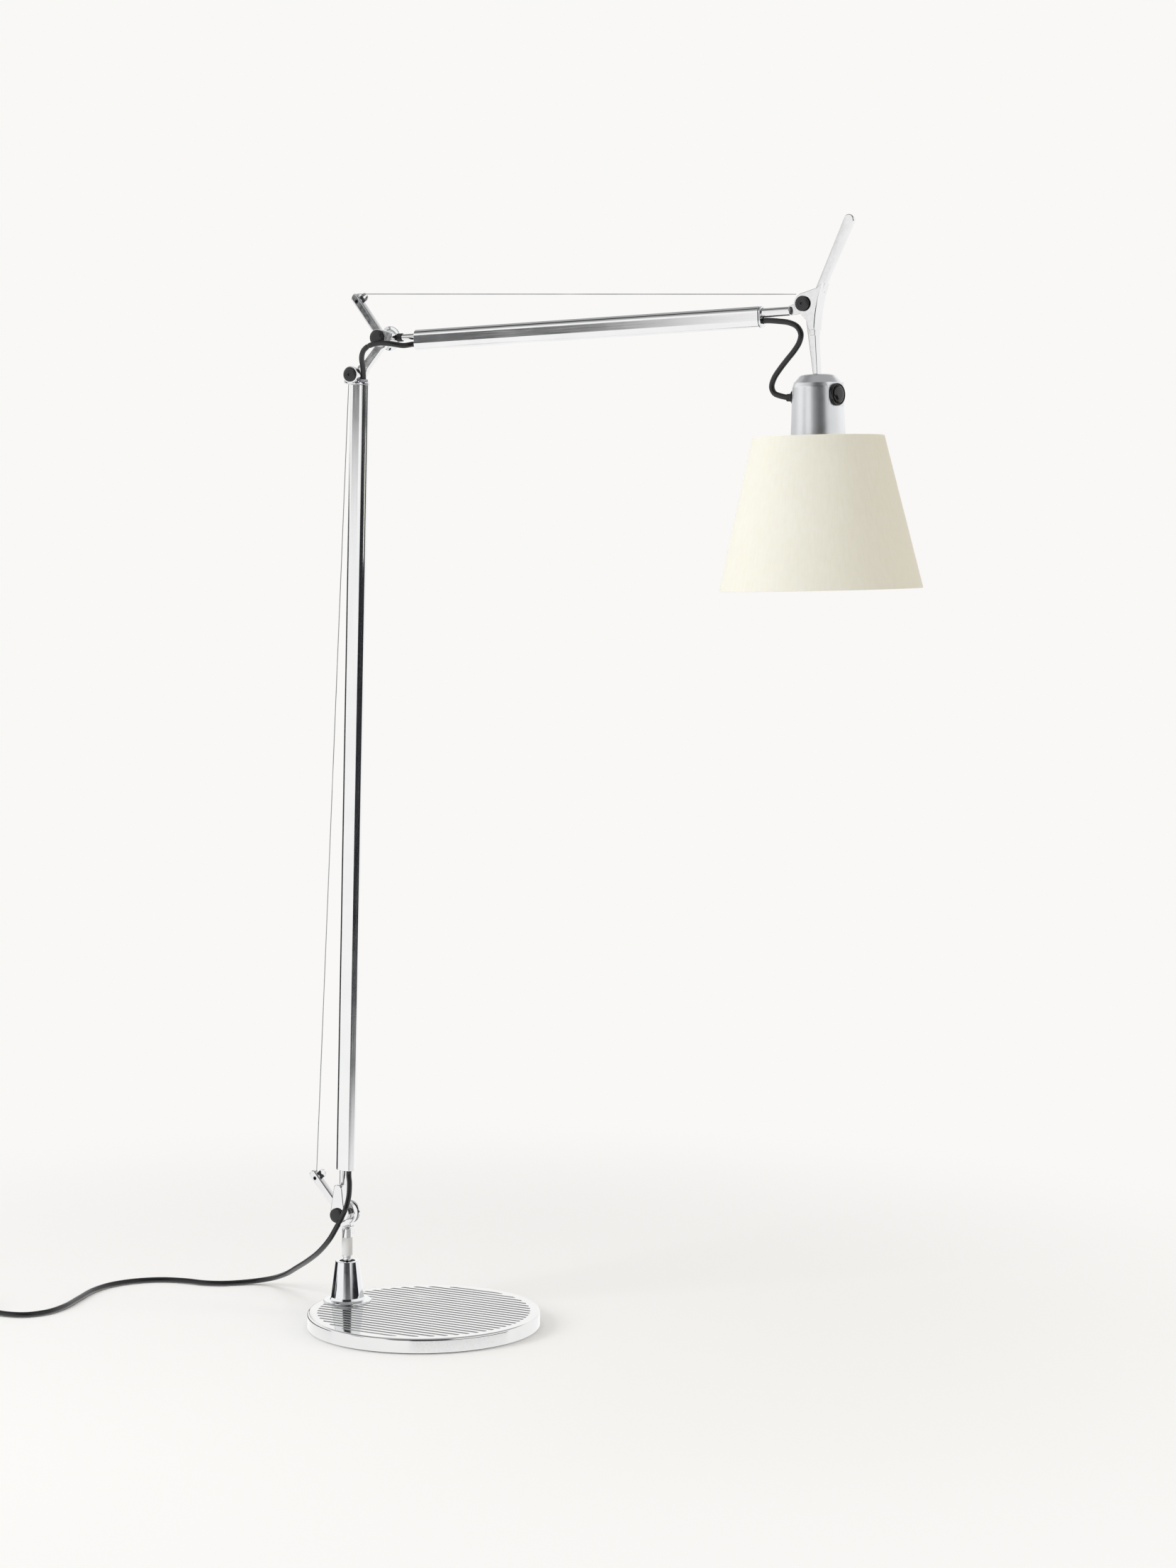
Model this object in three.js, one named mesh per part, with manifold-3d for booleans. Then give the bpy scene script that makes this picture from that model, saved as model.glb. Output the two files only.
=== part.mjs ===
// Adjustable arm floor lamp: a heavy disc base, a swivel stem, two balanced arms of polished
// aluminium tube, a tilting head with a conical shade, and a round mains lead with its plug.
// Units are millimetres, +Z is up, +X is the way the arms reach, and the origin is the middle
// of the underside of the base. The arms stand in the plane y = 0.
import * as THREE from 'three';
import { mergeVertices } from 'three/addons/utils/BufferGeometryUtils.js';
import Module from 'manifold-3d';

const wasm = await Module();
wasm.setup();

// ---------------------------------------------------------------- driving dimensions
const GAP = 0.3; // running clearance between pieces
const FINE = 40; // segments on a large round piece
const ROUND = 16; // segments on a small round piece

const BASE_RADIUS = 115;
const BASE_THICKNESS = 14;
const BASE_EDGE = 2; // bevel round the disc's top edge
const RIM_WIDTH = 9.5; // smooth rim outside the grooves
const GROOVE_PITCH = 8.4;
const GROOVE_WIDTH = 4.2;
const GROOVE_DEPTH = 0.6;
const PAD_THICKNESS = 1.5;
const PAD_INSET = 5;

const STEM_X = -90; // the swivel axis
const CONE_FLANGE_RADIUS = 24;
const CONE_FLANGE_THICKNESS = 1.6;
const CONE_FOOT_RADIUS = 17;
const CONE_TOP_RADIUS = 11.7;
const CONE_HEIGHT = 41;
const CONE_BORE_RADIUS = 7.85;
const CONE_FLOOR = 8; // solid metal under the bore
const BOLT_RADIUS = 4;
const BOLT_HEAD_RADIUS = 7;
const BOLT_HEAD_HEIGHT = 5.3;

const SHAFT_RADIUS = 4.4; // turned end of the stem, inside the bush
const STEM_RADIUS = 5;
const STEM_STEP = 4; // height of the turned end that shows above the cone
const BUSH_DROP = 5; // the bush sits this far below the rim of the cone

const LOWER_HINGE = [-94.4, 103.6]; // x and z of the pin at the foot of the lower arm
const LOWER_LEAN = 1.62; // degrees, towards +X
const LOWER_LENGTH = 834; // from the lower hinge to the elbow's first pin
const LOWER_TUBE_START = 44.8;
const ELBOW_PIN_RISE = 9.7; // above the end of the lower tube
const LOWER_TUBE_SHIFT = 2.1; // tube axis to the +X side of the hinge

const LINK_ANGLE = 48; // degrees above the horizontal
const LINK_LENGTH = 47.2;
const LEVER_LENGTH = 50;
const LOWER_LEVER_ANGLE = 132.3;
const UPPER_LEVER_ANGLE = 127.6;

const UPPER_RISE = 1.86; // degrees
const UPPER_LENGTH = 455.6; // along the tube, from the elbow's second pin to the head pin
const UPPER_TUBE_START = 38.3;
const FRONT_REACH = 46.8; // end of the upper tube to the head pin
const UPPER_TUBE_DROP = 4.2; // tube axis below the elbow's second pin
const HEAD_PIN_LIFT = 4.8; // head pin above the line of the elbow's second pin

const TUBE_HEIGHT = 20.4; // the arm tube's section, a slot shape with round ends
const TUBE_DEPTH = 13.2;
const TUBE_WALL = 1.2;
const PLUG_THICKNESS = 3;
const ROD_RADIUS = 3.1;

const EYE_RADIUS = 8.5; // every hinge eye
const PIN_RADIUS = 3;
const CAP_RADIUS = 7.5;
const KNOB_RADIUS = 12;
const LEVER_WIDTH = 8;
const PULLEY_RADIUS = 7.8;
const WIRE_RADIUS = 0.45;
const LEAD_RADIUS = 2.65;
const SPRING_RIDGE = 60; // length of one ridge of a spring's stand-in
const KNUCKLE_LENGTH = 26; // hinge to shoulder on the lower arm
const UPPER_KNUCKLE_LENGTH = 12.4;
const RING_WIDTH = 5.4; // rubber ring on the upper arm's rod

// layers along a hinge pin, as y values
const LEVER_Y = [-4.7, 2.3];
const CHEEK_Y = [-11.5, -5];
const OUTER_Y = [2.6, 8.6];
const KNOB_Y = [8.9, 14.9];
const CAP_Y = [-15, -11.8];
const WIRE_Y = (LEVER_Y[0] + LEVER_Y[1]) / 2;

const HEAD_TILT = 1.4; // degrees, the shade's lower rim towards +X
const HEAD_SHIFT = 9.4; // shade axis in front of the head pin
const BRACKET_HALF = 8;
const SLOT_HALF = 5.2;
const NECK_END = 64; // below the head pin
const HOUSING_HEIGHT = 76;
const HOUSING_TOP_RADIUS = 14;
const HOUSING_SHOULDER = [22.7, 9]; // radius, and distance below the top
const HOUSING_RADIUS = 26;
const HOUSING_WALL = 1.5;
const SWITCH_DROP = 18.6; // switch centre below the housing's top
const SWITCH_PAD = 22;
const SWITCH_FACE = 21.5; // flat of the switch pad, from the housing's axis
const BUTTON_RADIUS = 7.7;
const BUTTON_TRAVEL = 2;
const GROMMET_DROP = 19.5;
const SHADE_TOP = 120; // below the head pin
const SHADE_HEIGHT = 139;
const SHADE_TOP_RADIUS = 60;
const SHADE_BOTTOM_RADIUS = 93;
const SHADE_WALL = 1.2;
const BULB_RADIUS = 30;

const COIL_CENTRE = [-462, -200];
const COIL_RADIUS = 31;
const COIL_WIDTH = 12;
const COIL_HEIGHT = 16.5;

const FERRULE_RADIUS = 4.5; // the pale collar round the lead at the top of the lower arm
const FERRULE_HEIGHT = 5.6;
const FERRULE_NECK = 3.9;
const SPIGOT_RADIUS = 2.8;
const LINK_END = 6;
const ROLLER_RADIUS = 2.6;
const ROLLER_BORE = 1.5;
const ELBOW_SIDE = -2.5; // elbow's first pin, from the line of the lower arm
const FRONT_ROD_RADIUS = 4.3;
const HANDLE_LEAN = 63.4; // degrees above the horizontal
const HANDLE_ROOT = 4;
const HANDLE_TIP = 5.2;
const HANDLE_HALF = 2.3; // half its thickness along Y
const HANDLE_LENGTH = 71.4;
const SWITCH_RING = 10.2;
const SWITCH_TURN = -13; // degrees about the housing's axis, from +X
const GROMMET_NECK = 4.4;
const GROMMET_FLANGE = 6.5;
const SOCKET_RADIUS = 20;
const SOCKET_MOUTH = 13.4;
const CARRIER_DROP = 6; // shade ring below the shade's top rim
const HUB_RADIUS = 24;
const PLUG_START = 25; // plug's back, beside the coil's centre
const PLUG_HEIGHT = 14;

// chosen points of the leads
const MAINS_ROUTE = [
  [-83.6, -5, 136.4], [-80.1, -12, 123.6], [-80.8, -17, 112.3], [-88.6, -17.2, 97.3],
  [-102.4, -12, 79.6], [-123.5, 0, 61.8], [-148.8, 18, 46.6], [-177.1, 40, 32],
  [-205, 60, 18], [-228, 70, 9], [-247, 69, 4.2], [-262, 58, 2.8], [-276, 46, 2.8],
  [-293, 39, 2.8], [-316, 37, 2.8], [-341, 29, 2.8], [-361, 11, 2.8], [-373, -14, 2.8],
  [-374, -44, 2.8], [-365, -80, 2.8], [-356, -116, 2.8], [-356, -144, 2.8],
  [-367, -163, 2.8], [-386, -170, 2.8], [-410, -168, 2.8],
];
const ELBOW_ROUTE = [
  [-62.6, -5, 944.8], [-59.4, -12, 953.5], [-54.4, -16.2, 960.1], [-48, -17.9, 964.2],
  [-38.3, -18, 966.4], [-26, -16.6, 966.2], [-19.6, -14.4, 965.2], [-13.6, -8.4, 964.2],
];
const HEAD_ROUTE = [
  [385.5, 0, 977.2], [396, 0, 975.6], [404, 0, 971.8], [407.8, 0, 965.4], [406.4, 0, 958],
  [401.4, 0, 950.4], [394.4, 0, 942.6], [386.6, 0, 933.6], [380.8, 0, 925.4],
  [378.6, 0, 918], [381, 0, 912.2], [387, 0, 909.6],
];

// ---------------------------------------------------------------- values that follow
const FLOOR_TOP = PAD_THICKNESS + BASE_THICKNESS; // upper face of the base disc
const CONE_RIM = FLOOR_TOP + CONE_HEIGHT;
const BORE_FLOOR = FLOOR_TOP + CONE_FLOOR;
const HOLE_RADIUS = PIN_RADIUS + GAP;
const TUBE_SPREAD = (TUBE_HEIGHT - TUBE_DEPTH) / 2; // half the distance between the channels
const ROD_SIDE = LOWER_TUBE_SHIFT - TUBE_SPREAD;
const LEAD_SIDE = LOWER_TUBE_SHIFT + TUBE_SPREAD;
const LOWER_TUBE_END = LOWER_LENGTH - ELBOW_PIN_RISE;
const UPPER_TUBE_END = UPPER_LENGTH - FRONT_REACH;
const HOUSING_TOP = -NECK_END - GAP;
const HOUSING_END = HOUSING_TOP - HOUSING_HEIGHT;
const SWITCH_Z = HOUSING_TOP - SWITCH_DROP;
const GROMMET_Z = HOUSING_TOP - GROMMET_DROP;
const SHADE_END = -SHADE_TOP - SHADE_HEIGHT;
const SOCKET_END = HOUSING_END - 12;
const CARRIER_HUB = HOUSING_END - 3;
const BULB_END = SHADE_END + 22;
const HEAD_EYE_Y = [0.6, SLOT_HALF - GAP];
const COIL_ENTRY = [COIL_CENTRE[0] + 24, COIL_CENTRE[1] + COIL_RADIUS + 2, LEAD_RADIUS + 0.15];
const radians = THREE.MathUtils.degToRad;
const ELBOW_LOWER = at(LOWER_HINGE, LOWER_LEAN, [ELBOW_SIDE, LOWER_LENGTH]);
const ELBOW_UPPER = at(ELBOW_LOWER, 90 - LINK_ANGLE, [0, LINK_LENGTH]);
const HEAD_PIN = at(ELBOW_UPPER, -UPPER_RISE, [UPPER_LENGTH, HEAD_PIN_LIFT]);

// A point of a frame that is tilted about Y, in the lamp's own frame.
function inFrame([ox, oz], tilt, [x, y, z]) {
  const turn = radians(tilt);
  return [
    ox + x * Math.cos(turn) + z * Math.sin(turn), y,
    oz - x * Math.sin(turn) + z * Math.cos(turn),
  ];
}

function at(origin, tilt, [x, z]) {
  const [px, , pz] = inFrame(origin, tilt, [x, 0, z]);
  return [px, pz];
}

// ---------------------------------------------------------------- materials
const LOOKS = {
  chrome: { color: 0xd8d9da, roughness: 0.08, metalness: 1 },
  polished: { color: 0xe2e3e3, roughness: 0.14, metalness: 1 },
  satin: { color: 0xc9cbcc, roughness: 0.34, metalness: 1 },
  steel: { color: 0x9b9da0, roughness: 0.35, metalness: 1 },
  black: { color: 0x161617, roughness: 0.42, metalness: 0 },
  rubber: { color: 0x1b1b1c, roughness: 0.7, metalness: 0 },
  clear: { color: 0xcfcde0, roughness: 0.3, metalness: 0 },
  label: { color: 0xf2f2ef, roughness: 0.5, metalness: 0 },
  parchment: { color: 0xece6cf, roughness: 0.75, metalness: 0 },
  opal: { color: 0xf7f6f1, roughness: 0.25, metalness: 0 },
  ceramic: { color: 0xe9e7e1, roughness: 0.4, metalness: 0 },
};

// ---------------------------------------------------------------- shape helpers
// A closed geometry, with shared vertices merged, as a manifold whose faces point out.
function solid(geometry) {
  const bare = geometry.clone();
  bare.deleteAttribute('normal');
  bare.deleteAttribute('uv');
  const merged = mergeVertices(bare, 1e-4);
  const points = merged.attributes.position;
  const index = merged.index.array;
  const corners = [];
  let volume = 0;
  for (let i = 0; i < index.length; i += 3) {
    const face = [index[i], index[i + 1], index[i + 2]];
    if (new Set(face).size < 3) continue;
    corners.push(...face);
    const [a, b, c] = face.map((n) => new THREE.Vector3().fromBufferAttribute(points, n));
    volume += a.dot(b.cross(c));
  }
  if (volume < 0) corners.reverse();
  return new wasm.Manifold(new wasm.Mesh({
    numProp: 3,
    vertProperties: new Float32Array(points.array),
    triVerts: new Uint32Array(corners),
  }));
}

const join = (first, ...others) => others.reduce((all, one) => all.add(one), first);
const cut = (first, ...others) => others.reduce((all, one) => all.subtract(one), first);

// A round bar along Z from z0 to z1.
function barZ(radius, z0, z1, x = 0, y = 0, segments = ROUND) {
  const geometry = new THREE.CylinderGeometry(radius, radius, z1 - z0, segments);
  return solid(geometry.rotateX(Math.PI / 2).translate(x, y, (z0 + z1) / 2));
}

// A round bar along Y from y0 to y1.
function barY(radius, y0, y1, x = 0, z = 0, segments = ROUND) {
  const geometry = new THREE.CylinderGeometry(radius, radius, y1 - y0, segments);
  return solid(geometry.translate(x, (y0 + y1) / 2, z));
}

// A round bar along X from x0 to x1.
function barX(radius, x0, x1, y = 0, z = 0, segments = ROUND) {
  const geometry = new THREE.CylinderGeometry(radius, radius, x1 - x0, segments);
  return solid(geometry.rotateZ(Math.PI / 2).translate((x0 + x1) / 2, y, z));
}

function box([x0, x1], [y0, y1], [z0, z1]) {
  const geometry = new THREE.BoxGeometry(x1 - x0, y1 - y0, z1 - z0);
  return solid(geometry.translate((x0 + x1) / 2, (y0 + y1) / 2, (z0 + z1) / 2));
}

// A closed profile of [radius, z] points, turned about Z.
function turned(profile, segments = ROUND) {
  const points = profile.map(([r, z]) => new THREE.Vector2(r, z));
  points.push(points[0].clone());
  return solid(new THREE.LatheGeometry(points, segments).rotateX(Math.PI / 2));
}

// A flat outline in X and Z, given thickness from y0 to y1.
function plateXZ(shape, [y0, y1], curveSegments = 8) {
  const options = { depth: y1 - y0, bevelEnabled: false, curveSegments };
  return solid(new THREE.ExtrudeGeometry(shape, options).rotateX(Math.PI / 2).translate(0, y1, 0));
}

function outline(points) {
  return new THREE.Shape(points.map(([x, z]) => new THREE.Vector2(x, z)));
}

// A strap with round ends: radius r0 round [0, 0] and r1 round [0, length].
function strap(r0, r1, length, [y0, y1]) {
  const slope = Math.asin((r0 - r1) / length);
  const shape = new THREE.Shape();
  shape.absarc(0, 0, r0, Math.PI - slope, slope, false);
  shape.absarc(0, length, r1, slope, Math.PI - slope, false);
  return plateXZ(shape, [y0, y1], 8);
}

// The arm tube's slot-shaped section, grown or shrunk by offset, long in x.
function slotShape(offset, centre) {
  const radius = TUBE_DEPTH / 2 + offset;
  const shape = new THREE.Shape();
  shape.absarc(centre + TUBE_SPREAD, 0, radius, -Math.PI / 2, Math.PI / 2, false);
  shape.absarc(centre - TUBE_SPREAD, 0, radius, Math.PI / 2, 1.5 * Math.PI, false);
  return shape;
}

// A slot-shaped bar along Z.
function slotBar(offset, centre, z0, z1) {
  const options = { depth: z1 - z0, bevelEnabled: false, curveSegments: 8 };
  return solid(new THREE.ExtrudeGeometry(slotShape(offset, centre), options).translate(0, 0, z0));
}

// A round cord of the given radius through the points.
function cordAlong(points, radius, step, sides = 8) {
  const curve = new THREE.CatmullRomCurve3(points, false, 'centripetal');
  const ring = [];
  for (let i = 0; i < sides; i += 1) {
    const turn = (2 * Math.PI * i) / sides;
    ring.push(new THREE.Vector2(radius * Math.cos(turn), radius * Math.sin(turn)));
  }
  const steps = Math.max(2, Math.round(curve.getLength() / step));
  return solid(new THREE.ExtrudeGeometry(new THREE.Shape(ring), { steps, extrudePath: curve }));
}

// Turns a solid that stands along Z so that it lies along X, with its x side now pointing up.
const layDown = (manifold) => manifold.rotate([0, 90, 0]).scale([1, 1, -1]);

function piece(parent, name, manifold, look) {
  const { vertProperties, triVerts } = manifold.getMesh();
  const geometry = new THREE.BufferGeometry();
  geometry.setAttribute('position', new THREE.BufferAttribute(new Float32Array(vertProperties), 3));
  geometry.setIndex(new THREE.BufferAttribute(new Uint32Array(triVerts), 1));
  geometry.computeVertexNormals();
  const mesh = new THREE.Mesh(geometry, new THREE.MeshStandardMaterial(LOOKS[look]));
  mesh.name = name;
  parent.add(mesh);
  return mesh;
}

function frameAt(parent, [x, z], tilt) {
  const group = new THREE.Group();
  group.position.set(x, 0, z);
  group.rotation.y = radians(tilt);
  parent.add(group);
  return group;
}

// ---------------------------------------------------------------- base
function makeBase(parent) {
  const padHole = barZ(BOLT_HEAD_RADIUS + 6, -1, PAD_THICKNESS + 1, STEM_X);
  const pad = cut(barZ(BASE_RADIUS - PAD_INSET, 0, PAD_THICKNESS, 0, 0, FINE), padHole);
  piece(parent, 'base_pad', pad, 'rubber');

  const bottom = PAD_THICKNESS;
  const blank = turned([
    [0, bottom], [BASE_RADIUS - 1, bottom], [BASE_RADIUS, bottom + 1],
    [BASE_RADIUS, FLOOR_TOP - BASE_EDGE], [BASE_RADIUS - BASE_EDGE * 0.3, FLOOR_TOP - BASE_EDGE * 0.3],
    [BASE_RADIUS - BASE_EDGE, FLOOR_TOP], [0, FLOOR_TOP],
  ], 72);
  const grooveEdge = BASE_RADIUS - RIM_WIDTH;
  const count = Math.floor(grooveEdge / GROOVE_PITCH);
  const grooves = [];
  for (let i = -count; i <= count; i += 1) {
    const y = i * GROOVE_PITCH;
    const sides = [y - GROOVE_WIDTH / 2, y + GROOVE_WIDTH / 2];
    grooves.push(box([-BASE_RADIUS, BASE_RADIUS], sides, [FLOOR_TOP - GROOVE_DEPTH, FLOOR_TOP + 1]));
  }
  const field = barZ(grooveEdge, FLOOR_TOP - 2, FLOOR_TOP + 2, 0, 0, 72);
  const seat = barZ(CONE_FLANGE_RADIUS + GAP, 0, FLOOR_TOP + 3, STEM_X, 0, FINE);
  const cuts = cut(join(...grooves).intersect(field), seat);
  const well = barZ(BOLT_HEAD_RADIUS + 6, bottom - 1, bottom + BOLT_HEAD_HEIGHT + 1.5, STEM_X);
  const hole = barZ(BOLT_RADIUS + GAP, 0, FLOOR_TOP + 1, STEM_X);
  piece(parent, 'base_disc', cut(blank, cuts, well, hole), 'polished');

  const cone = turned([
    [BOLT_RADIUS + GAP, FLOOR_TOP], [CONE_FLANGE_RADIUS, FLOOR_TOP],
    [CONE_FLANGE_RADIUS, FLOOR_TOP + CONE_FLANGE_THICKNESS * 0.6],
    [CONE_FLANGE_RADIUS - 1, FLOOR_TOP + CONE_FLANGE_THICKNESS],
    [CONE_FOOT_RADIUS + 0.8, FLOOR_TOP + CONE_FLANGE_THICKNESS],
    [CONE_FOOT_RADIUS, FLOOR_TOP + CONE_FLANGE_THICKNESS + 1],
    [CONE_TOP_RADIUS, CONE_RIM - 1], [CONE_TOP_RADIUS - 0.9, CONE_RIM],
    [CONE_BORE_RADIUS, CONE_RIM], [CONE_BORE_RADIUS, BORE_FLOOR], [BOLT_RADIUS + GAP, BORE_FLOOR],
  ], FINE).translate([STEM_X, 0, 0]);
  piece(parent, 'cone_foot', cone, 'chrome');

  const headTop = bottom + BOLT_HEAD_HEIGHT + 1.5;
  const bolt = join(
    barZ(BOLT_HEAD_RADIUS, headTop - BOLT_HEAD_HEIGHT, headTop, STEM_X, 0, 6),
    barZ(BOLT_RADIUS, headTop - 1, BORE_FLOOR - 1, STEM_X),
  );
  piece(parent, 'base_bolt', bolt, 'steel');

  const bush = turned([
    [SHAFT_RADIUS + GAP, BORE_FLOOR + GAP], [CONE_BORE_RADIUS - GAP, BORE_FLOOR + GAP],
    [CONE_BORE_RADIUS - GAP, CONE_RIM - BUSH_DROP], [SHAFT_RADIUS + GAP, CONE_RIM - BUSH_DROP],
  ]).translate([STEM_X, 0, 0]);
  piece(parent, 'stem_bush', bush, 'black');
}

// ---------------------------------------------------------------- shared hinge pieces
// The bar that a balance wire pulls on, along +Z from its hinge, with a lug beside its end.
function leverSolid() {
  const half = LEVER_WIDTH / 2;
  const bar = strap(half, half, LEVER_LENGTH, LEVER_Y);
  const boss = barY(EYE_RADIUS - 1, ...LEVER_Y);
  const lugZ = LEVER_LENGTH - 4.5;
  const lug = join(
    barY(4.2, LEVER_Y[1] - 1.6, LEVER_Y[1], half + 2.6, lugZ),
    box([half - 2, half + 2.6], [LEVER_Y[1] - 1.6, LEVER_Y[1]], [lugZ - 4, lugZ + 4]),
  );
  return cut(
    join(bar, boss, lug),
    barY(HOLE_RADIUS, -20, 20),
    barY(1.3, -20, 20, half + 2.9, lugZ, 10),
    barY(1.9, -20, LEVER_Y[0] + 4, -0.4, LEVER_LENGTH - 4.5, 10),
  );
}

// A short grub screw with a hexagon socket, in the lever's face near its end.
function setScrewSolid() {
  const body = barY(1.6, LEVER_Y[0] - 0.3, LEVER_Y[0] + 3.6, -0.4, LEVER_LENGTH - 4.5, 10);
  const socket = barY(0.9, LEVER_Y[0] - 2, LEVER_Y[0] + 1.2, -0.4, LEVER_LENGTH - 4.5, 6);
  return cut(body, socket);
}

function pinSolid(y0, y1) {
  return barY(PIN_RADIUS, y0, y1);
}

// A cap turned about Y, its rounded face towards -Y.
function capSolid([y0, y1], radius, dimple) {
  const height = y1 - y0;
  const rise = [];
  for (let i = 0; i < 3; i += 1) {
    const turn = (Math.PI / 2) * (i / 3);
    rise.push([radius * Math.cos(turn), height * 0.45 + height * 0.55 * Math.sin(turn)]);
  }
  rise.push([0, height]);
  const cap = turned([[0, 0], [radius - 0.4, 0], [radius, height * 0.2], ...rise]);
  const hole = barZ(dimple, height - 1, height + 1, 0, 0, 10);
  const shaped = dimple > 0 ? cut(cap, hole) : cap;
  return shaped.rotate([90, 0, 0]).translate([0, y1, 0]);
}

// A clamping disc with a shallow dished face, turned about Y, its face towards +Y.
function knobSolid([y0, y1]) {
  const height = y1 - y0;
  const profile = [
    [HOLE_RADIUS, 0], [KNOB_RADIUS - 4, 0], [KNOB_RADIUS - 3, 1.6], [KNOB_RADIUS - 0.6, 2],
    [KNOB_RADIUS, 2.6], [KNOB_RADIUS, 3.9], [KNOB_RADIUS - 0.8, 4.6], [KNOB_RADIUS - 5, height],
    [HOLE_RADIUS, height],
  ];
  return turned(profile, 20).rotate([-90, 0, 0]).translate([0, y0, 0]);
}

// The arm's end piece: a front cheek on the pin, a shoulder, and a rod into the tube's channel.
function knuckleSolid(length, rodSide, rodEnd) {
  const cheek = strap(EYE_RADIUS, 4.8, length, CHEEK_Y);
  const shift = box([rodSide - 3.6, rodSide + 3.6], [CHEEK_Y[0] + 1, ROD_RADIUS - 0.2],
    [length - 4, length + 4]);
  const rod = barZ(ROD_RADIUS, length, rodEnd, rodSide);
  return cut(join(cheek, shift, rod), barY(HOLE_RADIUS, -20, 20));
}

// A grooved wheel that a balance wire bends round, turned about Y.
function rollerSolid([y0, y1], bore, radius) {
  const half = (y1 - y0) / 2;
  const profile = [
    [bore, -half], [radius, -half], [radius, -half + 0.5], [radius - 2 * WIRE_RADIUS, -0.4],
    [radius - 2 * WIRE_RADIUS, 0.4], [radius, half - 0.5], [radius, half], [bore, half],
  ];
  return turned(profile).rotate([90, 0, 0]).translate([0, (y0 + y1) / 2, 0]);
}

// A close-wound tension spring, as the ridged tube that its touching turns make.
function springSolid(z0, length, side) {
  const turns = Math.round(length / SPRING_RIDGE);
  const outer = [];
  for (let i = 0; i < turns; i += 1) {
    const z = z0 + (length * i) / turns;
    outer.push([2.9, z], [3.7, z + length / turns / 2]);
  }
  outer.push([2.9, z0 + length]);
  return turned([[2, z0], ...outer, [2, z0 + length]], 8).translate([side, 0, 0]);
}

// ---------------------------------------------------------------- stem
function makeStem(parent) {
  const [hingeX, hingeZ] = LOWER_HINGE;
  const shaftTop = CONE_RIM + STEM_STEP;
  const neck = join(
    barZ(SHAFT_RADIUS, BORE_FLOOR + 2 * GAP, shaftTop + 1, STEM_X),
    barZ(STEM_RADIUS, shaftTop, hingeZ - EYE_RADIUS - 4, STEM_X),
  );
  const cheek = join(
    barY(EYE_RADIUS + 3, ...OUTER_Y, hingeX, hingeZ, 24),
    box([STEM_X - STEM_RADIUS + 0.4, STEM_X + STEM_RADIUS - 0.4], OUTER_Y,
      [hingeZ - EYE_RADIUS - 12, hingeZ - 4]),
  );
  const foot = box([STEM_X - 4.4, STEM_X + 4.4], [-2.2, OUTER_Y[1] - 1],
    [hingeZ - EYE_RADIUS - 12, hingeZ - EYE_RADIUS - 4.2]);
  const stem = cut(join(neck, cheek, foot), barY(HOLE_RADIUS, -20, 20, hingeX, hingeZ));
  piece(parent, 'stem', stem, 'polished');

  const bandFoot = shaftTop + 1.5;
  const band = turned([
    [STEM_RADIUS + 0.06, bandFoot], [STEM_RADIUS + 0.3, bandFoot],
    [STEM_RADIUS + 0.3, bandFoot + 18], [STEM_RADIUS + 0.06, bandFoot + 18],
  ]).translate([STEM_X, 0, 0]);
  piece(parent, 'stem_band', band, 'label');

  const lever = frameAt(parent, LOWER_HINGE, 90 - LOWER_LEVER_ANGLE);
  piece(lever, 'lower_lever', leverSolid(), 'polished');
  piece(lever, 'lower_set_screw', setScrewSolid(), 'black');

  const hinge = frameAt(parent, LOWER_HINGE, 0);
  piece(hinge, 'lower_hinge_pin', pinSolid(CHEEK_Y[0], KNOB_Y[1] - 0.5), 'steel');
  piece(hinge, 'lower_knob', knobSolid(KNOB_Y), 'chrome');
}

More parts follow.
